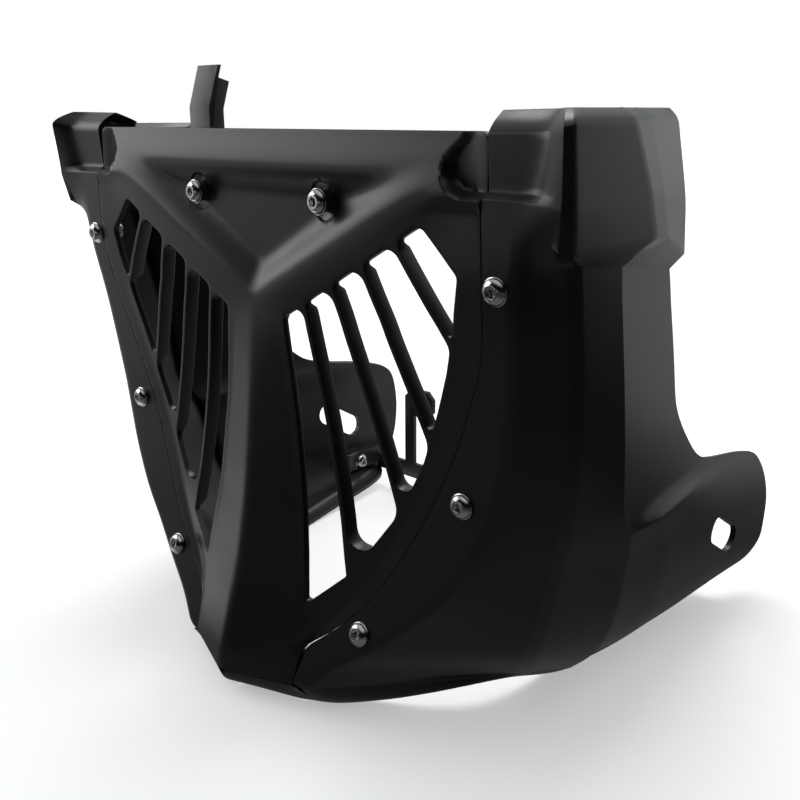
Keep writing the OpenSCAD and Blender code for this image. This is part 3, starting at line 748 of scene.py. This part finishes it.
def panel_body(name, step):
    """The panel from a fine flat net over its outline, pressed to its depth front and back."""
    face = PanelFace()
    opening = np.array(OPENING, float)
    gaps = gap_loops()
    both = np.array([-1, 1])
    holes = gaps + [ccw(g * both) for g in gaps]
    holes += [circle(s * TOP_AT[0], TOP_AT[2], HOLE_R) for s in (-1, 1)]
    outline = panel_outline()
    loops = [outline] + holes
    insets = [grown(outline, -EDGE_R)] + [grown(h, EDGE_R) for h in holes]

    def thickness(p):
        p = np.asarray(p)
        p = np.stack([np.abs(p[:, 0]), p[:, 1]], -1)
        return mix(PANEL_WALL, SLAT_DEPTH, step_up(reach_inside(p, opening) / 3.0))

    fixed = [tuple(p) for loop in insets for p in loop]
    edges, start = [], 0
    for loop in insets:
        n = len(loop)
        edges += [(start + i, start + (i + 1) % n) for i in range(n)]
        start += n
    lines = []
    low = PANEL_FOOT + 1
    for s in (-1.4, -0.7, 0, 0.7, 1.4):
        lines += [(s, z) for z in np.arange(low, -62, step)]
        for side in (-1, 1):
            lines += [(side * (float(look(SPINE_X, z)) - FOLD_INSET + s), z)
                      for z in np.arange(low, -79, step)]
    for side in (-1, 1):
        for r in (DISH_R + 0.3, DISH_R - 0.05, DISH_R - 0.4):
            lines += [tuple(p) for p in circle(side * TOP_AT[0], TOP_AT[2], r, 72)]
    for side in (-1, 1):
        lines += [(side * x, z) for x in np.arange(100, 120, FINE_NET)
                  for z in np.arange(-32, -7, FINE_NET)]
    xs = np.arange(-120, 120.1, step)
    zs = np.arange(-243, -6, step * 0.9)
    net = np.array([(x + (step / 2 if i % 2 else 0), z) for i, z in enumerate(zs) for x in xs])

    def clear_of(points, others, gap):
        tree = KDTree(len(others))
        for i, p in enumerate(others):
            tree.insert((p[0], p[1], 0), i)
        tree.balance()
        return np.array([tree.find((p[0], p[1], 0))[2] > gap for p in points])

    def keep(points):
        ok = inside(points, insets[0])
        for h in insets[1:]:
            ok &= ~inside(points, h)
        return points[ok]

    lines = keep(np.array(lines))
    lines = lines[clear_of(lines, fixed, FINE_NET / 2)]
    net = keep(net)
    net = net[clear_of(net, fixed + [tuple(p) for p in lines], step * 0.45)]
    flat = [Vector(p) for p in fixed] + [Vector(p) for p in lines] + [Vector(p) for p in net]
    verts, _, tris, origin, _, _ = delaunay_2d_cdt(flat, edges, [], 1, 1e-5)
    verts = np.array([(v.x, v.y) for v in verts])
    tris = np.array(tris)
    middle = verts[tris].mean(axis=1)
    ok = inside(middle, insets[0])
    for h in insets[1:]:
        ok &= ~inside(middle, h)
    tris = tris[ok]
    place = {}
    for i, sources in enumerate(origin):
        for s in sources:
            place[s] = i
    used = np.unique(tris)
    remap = np.full(len(verts), -1)
    remap[used] = np.arange(len(used))
    verts, tris = verts[used], remap[tris]
    count = len(verts)
    depth, thick = face.depth(verts), thickness(verts)
    points = [np.stack([verts[:, 0], depth, verts[:, 1]], -1),
              np.stack([verts[:, 0], depth + thick, verts[:, 1]], -1)]
    faces = [tuple(t) for t in tris] + [tuple(t[::-1] + count) for t in tris]
    total, start = 2 * count, 0
    for loop, inset in zip(loops, insets):
        n = len(loop)
        ring = [remap[place[start + i]] for i in range(n)]
        start += n
        stack = [ring]
        turns = [math.radians(a) for a in (30, 60, 90)]
        for turn, back in [(a, False) for a in turns] + [(a, True) for a in turns[::-1]]:
            p = inset + (loop - inset) * math.sin(turn)
            y = face.depth(p)
            drop = EDGE_R * (1 - math.cos(turn))
            y = y + thickness(p) - drop if back else y + drop
            points.append(np.stack([p[:, 0], y, p[:, 1]], -1))
            stack.append(list(range(total, total + n)))
            total += n
        stack.append([i + count for i in ring])
        for low, high in zip(stack, stack[1:]):
            faces += [(low[i], low[(i + 1) % n], high[(i + 1) % n], high[i]) for i in range(n)]
    return new_object(name, new_mesh(name, np.concatenate(points), faces))


def lip(side, levels):
    """Strip behind the shell's flange, drilled for its screws."""
    rows = [-10, -22] + [z for z in ROWS if -220 < z < -20]
    grid = []
    for z in rows:
        y, px = look(FLANGE_Y, z) if z < -25 else PanelFace.POCKET_Y, look(PANEL_X, z)
        seat = y + SHELL_WALL + SEAT_GAP
        grid.append([[px - LIP_INSET, y + PANEL_WALL - 1, z], [px - 1.5, seat, z], [px + 5, seat, z],
                     [px + look(LIP_REACH, z), seat, z]])
    grid = np.array(grid)
    back = grid + np.array([0, LIP_WALL, 0])
    obj = wall_cage("lip", mirrored(grid, side), mirrored(back, side), 0.8, levels)
    for x, z in SCREWS:
        seat, axis = flange_seat(side * x, z)
        cut(obj, rod("hole", seat, axis, HOLE_R, 30))
    return obj


def grille_panel(step, levels):
    obj = panel_body("grille", step)
    join(obj, lip(-1, levels), lip(1, levels))
    return soften(obj)


# fasteners

RING = 48


def round_ring(r, z, count=RING):
    t = np.arange(count) * 2 * math.pi / count
    return np.stack([r * np.cos(t), r * np.sin(t), np.full(count, z)], -1)


def hex_ring(width, z, limit=None, count=RING):
    """Hexagon ring; limit rounds its corners to that radius."""
    t = np.arange(count) * 2 * math.pi / count
    r = width / 2 / np.cos((t + math.pi / 6) % (math.pi / 3) - math.pi / 6)
    if limit:
        r = np.minimum(r, limit)
    return np.stack([r * np.cos(t), r * np.sin(t), np.full(count, z)], -1)


def thread_rings(top, end, pitch=1.0, depth=0.32, per_turn=8):
    """Rings of a rolled thread that runs down from top to end, tapered at its point."""
    stack = []
    t = np.arange(RING) / RING
    for z in np.arange(top, end - 1e-6, -pitch / per_turn):
        wave = np.abs(((z / pitch + t) % 1.0) - 0.5) * 2
        fade = min(1.0, (top - z) / pitch)
        r = SCREW_R - depth * fade * np.clip(wave * 1.6 - 0.3, 0, 1)
        r = np.minimum(r, SCREW_R - max(0.0, 0.8 - (z - end)))
        a = t * 2 * math.pi
        stack.append(np.stack([r * np.cos(a), r * np.sin(a), np.full(RING, z)], -1))
    return stack


def screw_mesh(name, length, plain):
    """Domed socket screw: origin under the head, Z out of it; plain is the unthreaded part."""
    crown = HEAD_H - 0.75
    stack = [hex_ring(SOCKET_W * 0.55, HEAD_H - 2.0), hex_ring(SOCKET_W * 0.96, HEAD_H - 1.9),
             hex_ring(SOCKET_W, HEAD_H - 1.75), hex_ring(SOCKET_W, HEAD_H - 0.3),
             hex_ring(SOCKET_W + 0.25, HEAD_H - 0.12), round_ring(2.55, HEAD_H - 0.03),
             round_ring(2.75, HEAD_H - 0.06)]
    for a in range(62, -1, -6):
        t = math.radians(a)
        stack.append(round_ring((HEAD_R - 0.35) * math.cos(t) ** 0.85,
                                0.75 + crown * math.sin(t)))
    stack += [round_ring(r, z) for r, z in (
        (HEAD_R - 0.12, 0.72), (HEAD_R, 0.6), (HEAD_R, 0.15), (HEAD_R - 0.12, 0.0),
        (SCREW_R + 0.3, 0.0), (SCREW_R, -0.25), (SCREW_R, -plain))]
    stack += thread_rings(-plain - 0.1, -length)
    return rings(name, np.array(stack))


def nut_mesh(name):
    """Flange nut: origin on its flange, Z away from the work."""
    outer = NUT_FLANGE_R
    stack = [round_ring(r, z) for r, z in ((SCREW_R, 0.0), (outer - 0.15, 0.0), (outer, 0.2),
                                           (outer, 0.75), (outer - 0.15, 0.95))]
    stack += [hex_ring(NUT_ACROSS, NUT_H - down, limit)
              for down, limit in ((4.5, 5.7), (0.9, 5.7), (0.55, 5.5), (0.25, 5.2))]
    stack += [round_ring(r, NUT_H - down)
              for r, down in ((4.75, 0.0), (SCREW_R + 0.35, 0.0), (SCREW_R, 0.45))]
    return rings(name, np.array(stack + stack[:1]), closed_ends=False)


def spacer_mesh(name):
    edge = 0.2
    stack = [round_ring(r, z) for r, z in (
        (SCREW_R, 0.0), (SPACER_R - edge, 0.0), (SPACER_R, edge), (SPACER_R, SPACER_H - edge),
        (SPACER_R - edge, SPACER_H), (SCREW_R, SPACER_H))]
    return rings(name, np.array(stack + stack[:1]), closed_ends=False)


def placing_tree():
    """Geometry nodes that set one copy of a piece on each point, tilted and spun."""
    tree = bpy.data.node_groups.new("place_fasteners", "GeometryNodeTree")
    face = tree.interface
    face.new_socket("Geometry", in_out="OUTPUT", socket_type="NodeSocketGeometry")
    face.new_socket("Places", in_out="INPUT", socket_type="NodeSocketGeometry")
    face.new_socket("Piece", in_out="INPUT", socket_type="NodeSocketObject")
    face.new_socket("Finish", in_out="INPUT", socket_type="NodeSocketMaterial")
    face.new_socket("Spin", in_out="INPUT", socket_type="NodeSocketFloat")
    face.new_socket("Seed", in_out="INPUT", socket_type="NodeSocketInt")
    g = Graph(tree)
    given = g.node("NodeGroupInput").outputs
    piece = g.node("GeometryNodeObjectInfo", {"transform_space": "ORIGINAL"},
                   {"Object": given["Piece"]})
    tilt = g.node("GeometryNodeInputNamedAttribute", {"data_type": "FLOAT_VECTOR"},
                  {"Name": "tilt"})
    turn = g.node("FunctionNodeEulerToRotation", {}, {"Euler": tilt.outputs["Attribute"]})
    place = g.node("GeometryNodeInstanceOnPoints", {},
                   {"Points": given["Places"], "Instance": piece.outputs["Geometry"],
                    "Rotation": turn.outputs["Rotation"]})
    chance = g.node("FunctionNodeRandomValue", {"data_type": "FLOAT"}, {"Seed": given["Seed"]})
    angle = g.node("ShaderNodeMath", {"operation": "MULTIPLY"},
                   {0: chance.outputs[1], 1: given["Spin"]})
    spin = g.node("ShaderNodeCombineXYZ", {}, {"Z": angle.outputs[0]})
    spun = g.node("GeometryNodeRotateInstances", {},
                  {"Instances": place.outputs["Instances"], "Rotation": spin.outputs[0],
                   "Local Space": True})
    real = g.node("GeometryNodeRealizeInstances", {}, {"Geometry": spun.outputs["Instances"]})
    done = g.node("GeometryNodeSetMaterial", {},
                  {"Geometry": real.outputs["Geometry"], "Material": given["Finish"]})
    g.node("NodeGroupOutput", {}, {"Geometry": done.outputs["Geometry"]})
    return tree


def place_all(name, tree, mesh, places, finish, seed):
    """One piece made of copies of mesh at places, each a point in table mm and its tilt."""
    base = bpy.data.meshes.new(name)
    base.from_pydata([list((np.array(p) + SHIFT) * MM) for p, _ in places], [], [])
    tilt = base.attributes.new("tilt", "FLOAT_VECTOR", "POINT")
    tilt.data.foreach_set("vector", [a for _, turn in places for a in turn])
    source = new_object(name + "_source", mesh)
    obj = new_object(name, base)
    op = obj.modifiers.new("place", "NODES")
    op.node_group = tree
    keys = {i.name: i.identifier for i in tree.interface.items_tree if i.in_out == "INPUT"}
    op[keys["Piece"]] = source
    op[keys["Finish"]] = finish
    op[keys["Spin"]] = 2 * math.pi
    op[keys["Seed"]] = seed
    settle(obj)
    bpy.data.objects.remove(source)
    return soften(obj, 32)


def flange_places(back=False):
    """Seats of the six flange screws, or of the nuts behind them."""
    out = []
    for side in (-1, 1):
        for x, z in SCREWS:
            (seat, axis), a = flange_seat(side * x, z), flange_slope(z)
            deep = (SHELL_WALL + SEAT_GAP + LIP_WALL) * math.cos(a) if back else 0.0
            out.append((seat - axis * deep, ((-1 if back else 1) * math.pi / 2 - a, 0, 0)))
    return out


def top_places(along, back=False):
    """Places on the two top screws, along their axis from the dish to the front."""
    x, y, z = TOP_AT
    turn = -math.pi / 2 if back else math.pi / 2
    return [((s * x, y - along, z), (turn, 0, 0)) for s in (-1, 1)]


def tail_places():
    x, y, z = TAIL_AT
    return [((s * (x - BAR_SHEET), y, z), (0, -s * math.pi / 2, 0)) for s in (-1, 1)]


# finishes

class Signal:
    """A socket that takes part in sums."""

    def __init__(self, graph, socket):
        self.graph, self.socket = graph, socket

    def maths(self, operation, first, second):
        n = self.graph.node("ShaderNodeMath", {"operation": operation}, {0: first, 1: second})
        return Signal(self.graph, n.outputs[0])

    def __add__(self, other):
        return self.maths("ADD", self, other)

    def __radd__(self, other):
        return self.maths("ADD", other, self)

    def __sub__(self, other):
        return self.maths("SUBTRACT", self, other)

    def __mul__(self, other):
        return self.maths("MULTIPLY", self, other)

    def highest(self, other):
        return self.maths("MAXIMUM", self, other)

    def eased(self, low, high, to_low=0.0, to_high=1.0):
        """Smooth step from to_low at low to to_high at high."""
        n = self.graph.node("ShaderNodeMapRange", {"interpolation_type": "SMOOTHSTEP"},
                            {"Value": self, "From Min": low, "From Max": high,
                             "To Min": to_low, "To Max": to_high})
        return Signal(self.graph, n.outputs["Result"])


class Graph:
    """Adds nodes to a tree: kind, then settings, then socket values."""

    def __init__(self, tree):
        self.tree = tree
        tree.nodes.clear()

    def node(self, kind, settings=None, values=None):
        n = self.tree.nodes.new(kind)
        for key, value in (settings or {}).items():
            setattr(n, key, value)
        for key, value in (values or {}).items():
            if isinstance(value, Signal):
                self.tree.links.new(value.socket, n.inputs[key])
            elif isinstance(value, bpy.types.NodeSocket):
                self.tree.links.new(value, n.inputs[key])
            else:
                n.inputs[key].default_value = value
        return n

    def noise(self, vector, scale, detail=2.0, rough=0.5):
        n = self.node("ShaderNodeTexNoise", {},
                      {"Vector": vector, "Scale": scale, "Detail": detail, "Roughness": rough})
        return Signal(self, n.outputs["Fac"])

    def blend(self, factor, a, b):
        n = self.node("ShaderNodeMix", {"data_type": "RGBA"},
                      {"Factor": factor, 6: (*a, 1) if isinstance(a, tuple) else a,
                       7: (*b, 1) if isinstance(b, tuple) else b})
        return n.outputs[2]

    def stretched(self, vector, scale, turn=(0, 0, 0)):
        n = self.node("ShaderNodeMapping", {}, {"Vector": vector, "Scale": scale,
                                                "Rotation": turn})
        return n.outputs["Vector"]


def new_material(name):
    mat = bpy.data.materials.new(name)
    mat.use_nodes = True
    return mat, Graph(mat.node_tree)


def place_vector(g):
    return g.node("ShaderNodeTexCoord").outputs["Object"]


def worn_edges(g, low, high):
    n = g.node("ShaderNodeAttribute", {"attribute_name": "worn"})
    return Signal(g, n.outputs["Fac"]).eased(low, high)


def upward(g):
    n = g.node("ShaderNodeNewGeometry")
    split = g.node("ShaderNodeSeparateXYZ", {}, {"Vector": n.outputs["Normal"]})
    return Signal(g, split.outputs["Z"])


def finish_with(g, values, bump, strength, distance):
    shape = g.node("ShaderNodeBump", {}, {"Strength": strength, "Distance": distance,
                                          "Height": bump})
    shader = g.node("ShaderNodeBsdfPrincipled", {}, {**values, "Normal": shape.outputs[0]})
    g.node("ShaderNodeOutputMaterial", {}, {"Surface": shader.outputs[0]})


def moulded_plastic(name, base, rough, seed):
    """Black moulded plastic with a fine leather-like grain, faint dust and rubbed edges."""
    mat, g = new_material(name)
    at = place_vector(g)
    cloud = g.noise(g.stretched(at, (1, 1, 1), (seed, 0, 0)), 9.0, 3.0)
    patch = g.noise(at, 42.0, 4.0, 0.6)
    grain = g.noise(at, 2600.0, 2.0, 0.6)
    flow = g.noise(g.stretched(at, (1, 1, 0.08)), 260.0, 2.0)
    speck = g.noise(at, 900.0, 1.0).eased(0.70, 0.78)
    scuff = g.noise(g.stretched(at, (0.15, 1, 1.6), (0.3, 0.5, seed)), 700.0, 2.0)
    scuff = scuff.eased(0.66, 0.74) * patch.eased(0.5, 0.75)
    dust = upward(g).eased(0.35, 1.0) * patch.eased(0.35, 0.8)
    rub = worn_edges(g, 0.12, 0.5) * patch.eased(0.4, 0.62)
    light = tuple(c * 1.5 + 0.001 for c in base)
    colour = g.blend(cloud.eased(0.3, 0.7), tuple(c * 0.8 for c in base), light)
    colour = g.blend(dust * 0.10 + speck * 0.05, colour, (0.10, 0.097, 0.09))
    colour = g.blend(rub * 0.35, colour, (0.045, 0.046, 0.048))
    gloss = (rough - 0.03 + cloud * 0.05 + patch * 0.04 + dust * 0.12 + scuff * 0.08
             - rub * 0.08)
    finish_with(g, {"Base Color": colour, "Roughness": gloss, "IOR": 1.5},
                grain * 0.7 + flow * 0.15 + scuff * -0.3, 0.35, 0.00003)
    return mat


def bare_metal(name, base, rough, scratch):
    """Turned or rolled steel: fine round scratches, dull film in patches."""
    mat, g = new_material(name)
    at = place_vector(g)
    film = g.noise(at, 130.0, 3.0, 0.6)
    lines = g.noise(g.stretched(at, (1, 0.2, 1), (0.2, 0.1, 0.7)), 2400.0, 3.0, 0.6)
    pit = g.noise(at, 1500.0, 2.0).eased(0.66, 0.8)
    rub = worn_edges(g, 0.1, 0.5)
    colour = g.blend(film.eased(0.3, 0.75), base, tuple(c * 0.82 for c in base))
    colour = g.blend(pit * 0.25, colour, tuple(c * 0.5 for c in base))
    gloss = rough + film * 0.06 + lines * scratch + pit * 0.15 - rub * 0.04
    finish_with(g, {"Base Color": colour, "Roughness": gloss, "Metallic": 1.0},
                lines * 0.6 - pit * 0.4, 0.25, 0.00002)
    return mat


def painted_steel(name, base, rough):
    """Black paint with orange peel, thin at the edges."""
    mat, g = new_material(name)
    at = place_vector(g)
    peel = g.noise(at, 420.0, 2.0, 0.4)
    patch = g.noise(at, 60.0, 4.0, 0.6)
    rub = worn_edges(g, 0.15, 0.5) * patch.eased(0.5, 0.68)
    colour = g.blend(patch.eased(0.3, 0.7), tuple(c * 0.85 for c in base),
                     tuple(c * 1.2 for c in base))
    colour = g.blend(rub * 0.7, colour, (0.32, 0.31, 0.30))
    gloss = rough + patch * 0.1 - rub * 0.1
    finish_with(g, {"Base Color": colour, "Roughness": gloss, "Metallic": rub * 0.8},
                peel, 0.3, 0.0002)
    return mat


def sheet_bracket(name, node, bevel):
    """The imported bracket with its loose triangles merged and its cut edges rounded."""
    obj = new_object(name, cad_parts[node].data.copy())
    bm = bmesh.new()
    bm.from_mesh(obj.data)
    bmesh.ops.remove_doubles(bm, verts=bm.verts, dist=1e-6)
    bmesh.ops.dissolve_limit(bm, angle_limit=math.radians(1), verts=bm.verts, edges=bm.edges)
    bmesh.ops.recalc_face_normals(bm, faces=bm.faces)
    bm.to_mesh(obj.data)
    bm.free()
    op = obj.modifiers.new("edge", "BEVEL")
    op.width, op.segments, op.limit_method = bevel, 3, "ANGLE"
    op.angle_limit = math.radians(35)
    settle(obj)
    return soften(obj, 30)


# pieces

LEVELS = 3
STEP = 1.7

BLACK = (0.0012, 0.0017, 0.0032)
plastic_panel = moulded_plastic("panel_plastic", BLACK, 0.30, 0.4)
plastic_shell = moulded_plastic("shell_plastic", BLACK, 0.29, 1.3)
screw_steel = bare_metal("polished_steel", (0.66, 0.65, 0.63), 0.10, 0.06)
nut_steel = bare_metal("plain_steel", (0.45, 0.46, 0.47), 0.30, 0.15)
bracket_paint = painted_steel("bracket_paint", (0.02, 0.021, 0.023), 0.35)


def finished(obj, material, node):
    """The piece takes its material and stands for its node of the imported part."""
    obj.data.materials.clear()
    obj.data.materials.append(material)
    for p in obj.data.polygons:
        p.material_index = 0
    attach(obj, "root")
    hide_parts(node)


finished(grille_panel(STEP, LEVELS), plastic_panel, "grille_panel")
finished(side_shell("left_side", -1, RIM_DROP, 0.0, LEVELS), plastic_shell,
         "left_shell")
finished(side_shell("right_side", 1, 0.0, CAP_REACH, LEVELS), plastic_shell,
         "right_shell")

TOP_NUT_AT = -(PANEL_WALL + HOOK_SHEET - DISH_DEPTH)
FASTENERS = [
    ("flange_heads", screw_mesh("long_screw", FLANGE_LEN, 4.0), flange_places(), screw_steel,
     3, "screw", "flange_screws"),
    ("flange_nuts_set", nut_mesh("nut"), flange_places(back=True), nut_steel,
     5, "nut", "flange_nuts"),
    ("top_heads", screw_mesh("top_screw", TOP_LEN, 5.0), top_places(SPACER_H), screw_steel,
     8, "screw", "top_screws"),
    ("top_nuts_set", nut_mesh("top_nut"), top_places(TOP_NUT_AT, back=True), nut_steel,
     9, "nut", "top_nuts"),
    ("spacers", spacer_mesh("spacer"), top_places(0.0), nut_steel,
     2, "nut", "top_spacers"),
    ("tail_heads", screw_mesh("tail_screw", TAIL_LEN, 3.2), tail_places(), screw_steel,
     4, "screw", "tail_screws")]
tree = placing_tree()
for name, mesh, places, steel, seed, slot, node in FASTENERS:
    finished(place_all(name, tree, mesh, places, steel, seed), steel, node)
for name, node, bevel in (("hook", "hook_bracket", 0.0003), ("rear_bar", "rear_bracket", 0.0004)):
    finished(sheet_bracket(name, node, bevel), bracket_paint, node)


# studio

FLOOR_Z = START[0][2] - 0.0002
FLOOR_R = 12.0
MIDDLE = (0.0, -0.10, 0.06)
SOFT_BOXES = [("left_box", (-1.15, -0.76, 0.62), (1.1, 0.8), 5.5),
              ("rear_box", (0.55, 1.25, 0.40), (0.9, 0.6), 0.5),
              ("top_box", (-0.3, 0.5, 1.4), (1.0, 0.8), 10.0)]


def camera_at(place, yaw, pitch, roll, lens):
    """Camera that looks along +Y, turned left by yaw and down by pitch, in degrees."""
    a, p, r = (math.radians(v) for v in (yaw, pitch, roll))
    forward = Vector((-math.sin(a) * math.cos(p), math.cos(a) * math.cos(p), -math.sin(p)))
    right = Vector((math.cos(a), math.sin(a), 0))
    up = right.cross(forward)
    x = right * math.cos(r) + up * math.sin(r)
    y = up * math.cos(r) - right * math.sin(r)
    data = bpy.data.cameras.new("camera")
    data.lens, data.sensor_width = lens, 36.0
    data.clip_start, data.clip_end = 0.01, 50.0
    obj = bpy.data.objects.new("camera", data)
    obj.matrix_world = Matrix((
        (x.x, y.x, -forward.x, place[0]), (x.y, y.y, -forward.y, place[1]),
        (x.z, y.z, -forward.z, place[2]), (0, 0, 0, 1)))
    bpy.context.scene.collection.objects.link(obj)
    bpy.context.scene.camera = obj


def soft_box(name, place, size, watts):
    """Rectangular lamp that faces the middle of the part."""
    data = bpy.data.lights.new(name, "AREA")
    data.shape, data.size, data.size_y, data.energy = "RECTANGLE", size[0], size[1], watts
    obj = bpy.data.objects.new(name, data)
    way = Vector(MIDDLE) - Vector(place)
    obj.rotation_euler = way.to_track_quat("-Z", "Y").to_euler()
    obj.location = place
    bpy.context.scene.collection.objects.link(obj)


def pale_floor():
    """Wide pale floor that keeps the soft shadow; reflections see on it a painted light map, a
    darker studio with painted pools of light.
    """
    mesh = bpy.data.meshes.new("floor")
    rim = circle(0.0, 0.0, FLOOR_R, 64)
    mesh.from_pydata([(x, y, FLOOR_Z) for x, y in rim.tolist()], [], [tuple(range(len(rim)))])
    obj = new_object("floor", mesh)
    mat, g = new_material("floor_paper")
    at = place_vector(g)
    tone = g.noise(at, 3.0, 2.0)
    colour = g.blend(tone, (0.90, 0.90, 0.90), (0.93, 0.93, 0.93))
    paper = g.node("ShaderNodeBsdfDiffuse", {}, {"Color": colour})
    split = g.node("ShaderNodeSeparateXYZ", {}, {"Vector": at})
    x, y = Signal(g, split.outputs["X"]), Signal(g, split.outputs["Y"])

    def pool(at_x, at_y, inner, outer, level):
        """Round pool of painted light that fades between the two radii."""
        squared = (x - at_x) * (x - at_x) + (y - at_y) * (y - at_y)
        return squared.eased(inner ** 2, outer ** 2, level, 0.0)

    # painted reflections: glossy rays see this painted glow, brighter to the rear and left, a faint
    # pool in front of the part and a bright pool to its left front
    rear = (y - x * 0.95).eased(-0.10, 0.15, 0.03, 0.5)
    left = (x + y * 0.3).eased(-1.15, -0.75, 0.6, 0.0)
    near = pool(0.0, -0.2, 0.173, 0.447, 0.09)
    foot = pool(-0.24, -0.20, 0.055, 0.20, 0.9)
    front = x.eased(-0.3, 0.5, 0.03, 0.01)
    level = (rear + front + near).highest(left).highest(foot)
    cool = g.blend(level, (0.0, 0.0, 0.0), (0.93, 0.97, 1.0))
    # emission that glossy rays see in place of the paper: a painted reflection, not a real studio
    painted_reflection = g.node("ShaderNodeEmission", {}, {"Color": cool})
    far = (x * x + y * y).eased(0.5, 3.0)
    shade = g.blend(far, (0.42, 0.42, 0.42), (1.0, 1.0, 1.0))
    white = g.node("ShaderNodeEmission", {}, {"Color": shade})
    lit = g.node("ShaderNodeAddShader", {}, {0: paper.outputs[0], 1: white.outputs[0]})
    ray = g.node("ShaderNodeLightPath").outputs
    seen = g.node("ShaderNodeMixShader", {}, {0: ray["Is Camera Ray"], 1: paper.outputs[0],
                                              2: lit.outputs[0]})
    both = g.node("ShaderNodeMixShader", {}, {0: ray["Is Glossy Ray"], 1: seen.outputs[0],
                                              2: painted_reflection.outputs[0]})
    g.node("ShaderNodeOutputMaterial", {}, {"Surface": both.outputs[0]})
    mesh.materials.append(mat)


def studio_world():
    """White to the camera; reflections see light above and to the rear left only."""
    world = bpy.data.worlds.new("studio")
    world.use_nodes = True
    bpy.context.scene.world = world
    g = Graph(world.node_tree)
    way = g.node("ShaderNodeTexCoord").outputs["Generated"]
    split = g.node("ShaderNodeSeparateXYZ", {}, {"Vector": way})
    x, y, z = (Signal(g, split.outputs[axis]) for axis in "XYZ")
    level = (y - x).eased(0.1, 0.6, 0.005, 0.6).highest(z.eased(0.5, 0.9, 0.0, 0.6))
    ray = g.node("ShaderNodeLightPath").outputs
    cool = g.blend(level, (0.0, 0.0, 0.0), (0.93, 0.97, 1.0))
    colour = g.blend(ray["Is Camera Ray"], cool, (1.0, 1.0, 1.0))
    back = g.node("ShaderNodeBackground", {}, {"Color": colour})
    g.node("ShaderNodeOutputWorld", {}, {"Surface": back.outputs[0]})


camera_at(place=(0.3128, -0.4578, 0.189), yaw=42.41, pitch=17.16, roll=-0.29, lens=41.85)
for name, place, size, watts in SOFT_BOXES:
    soft_box(name, place, size, watts)
studio_world()
pale_floor()

view = bpy.context.scene.view_settings
view.view_transform = "Standard"
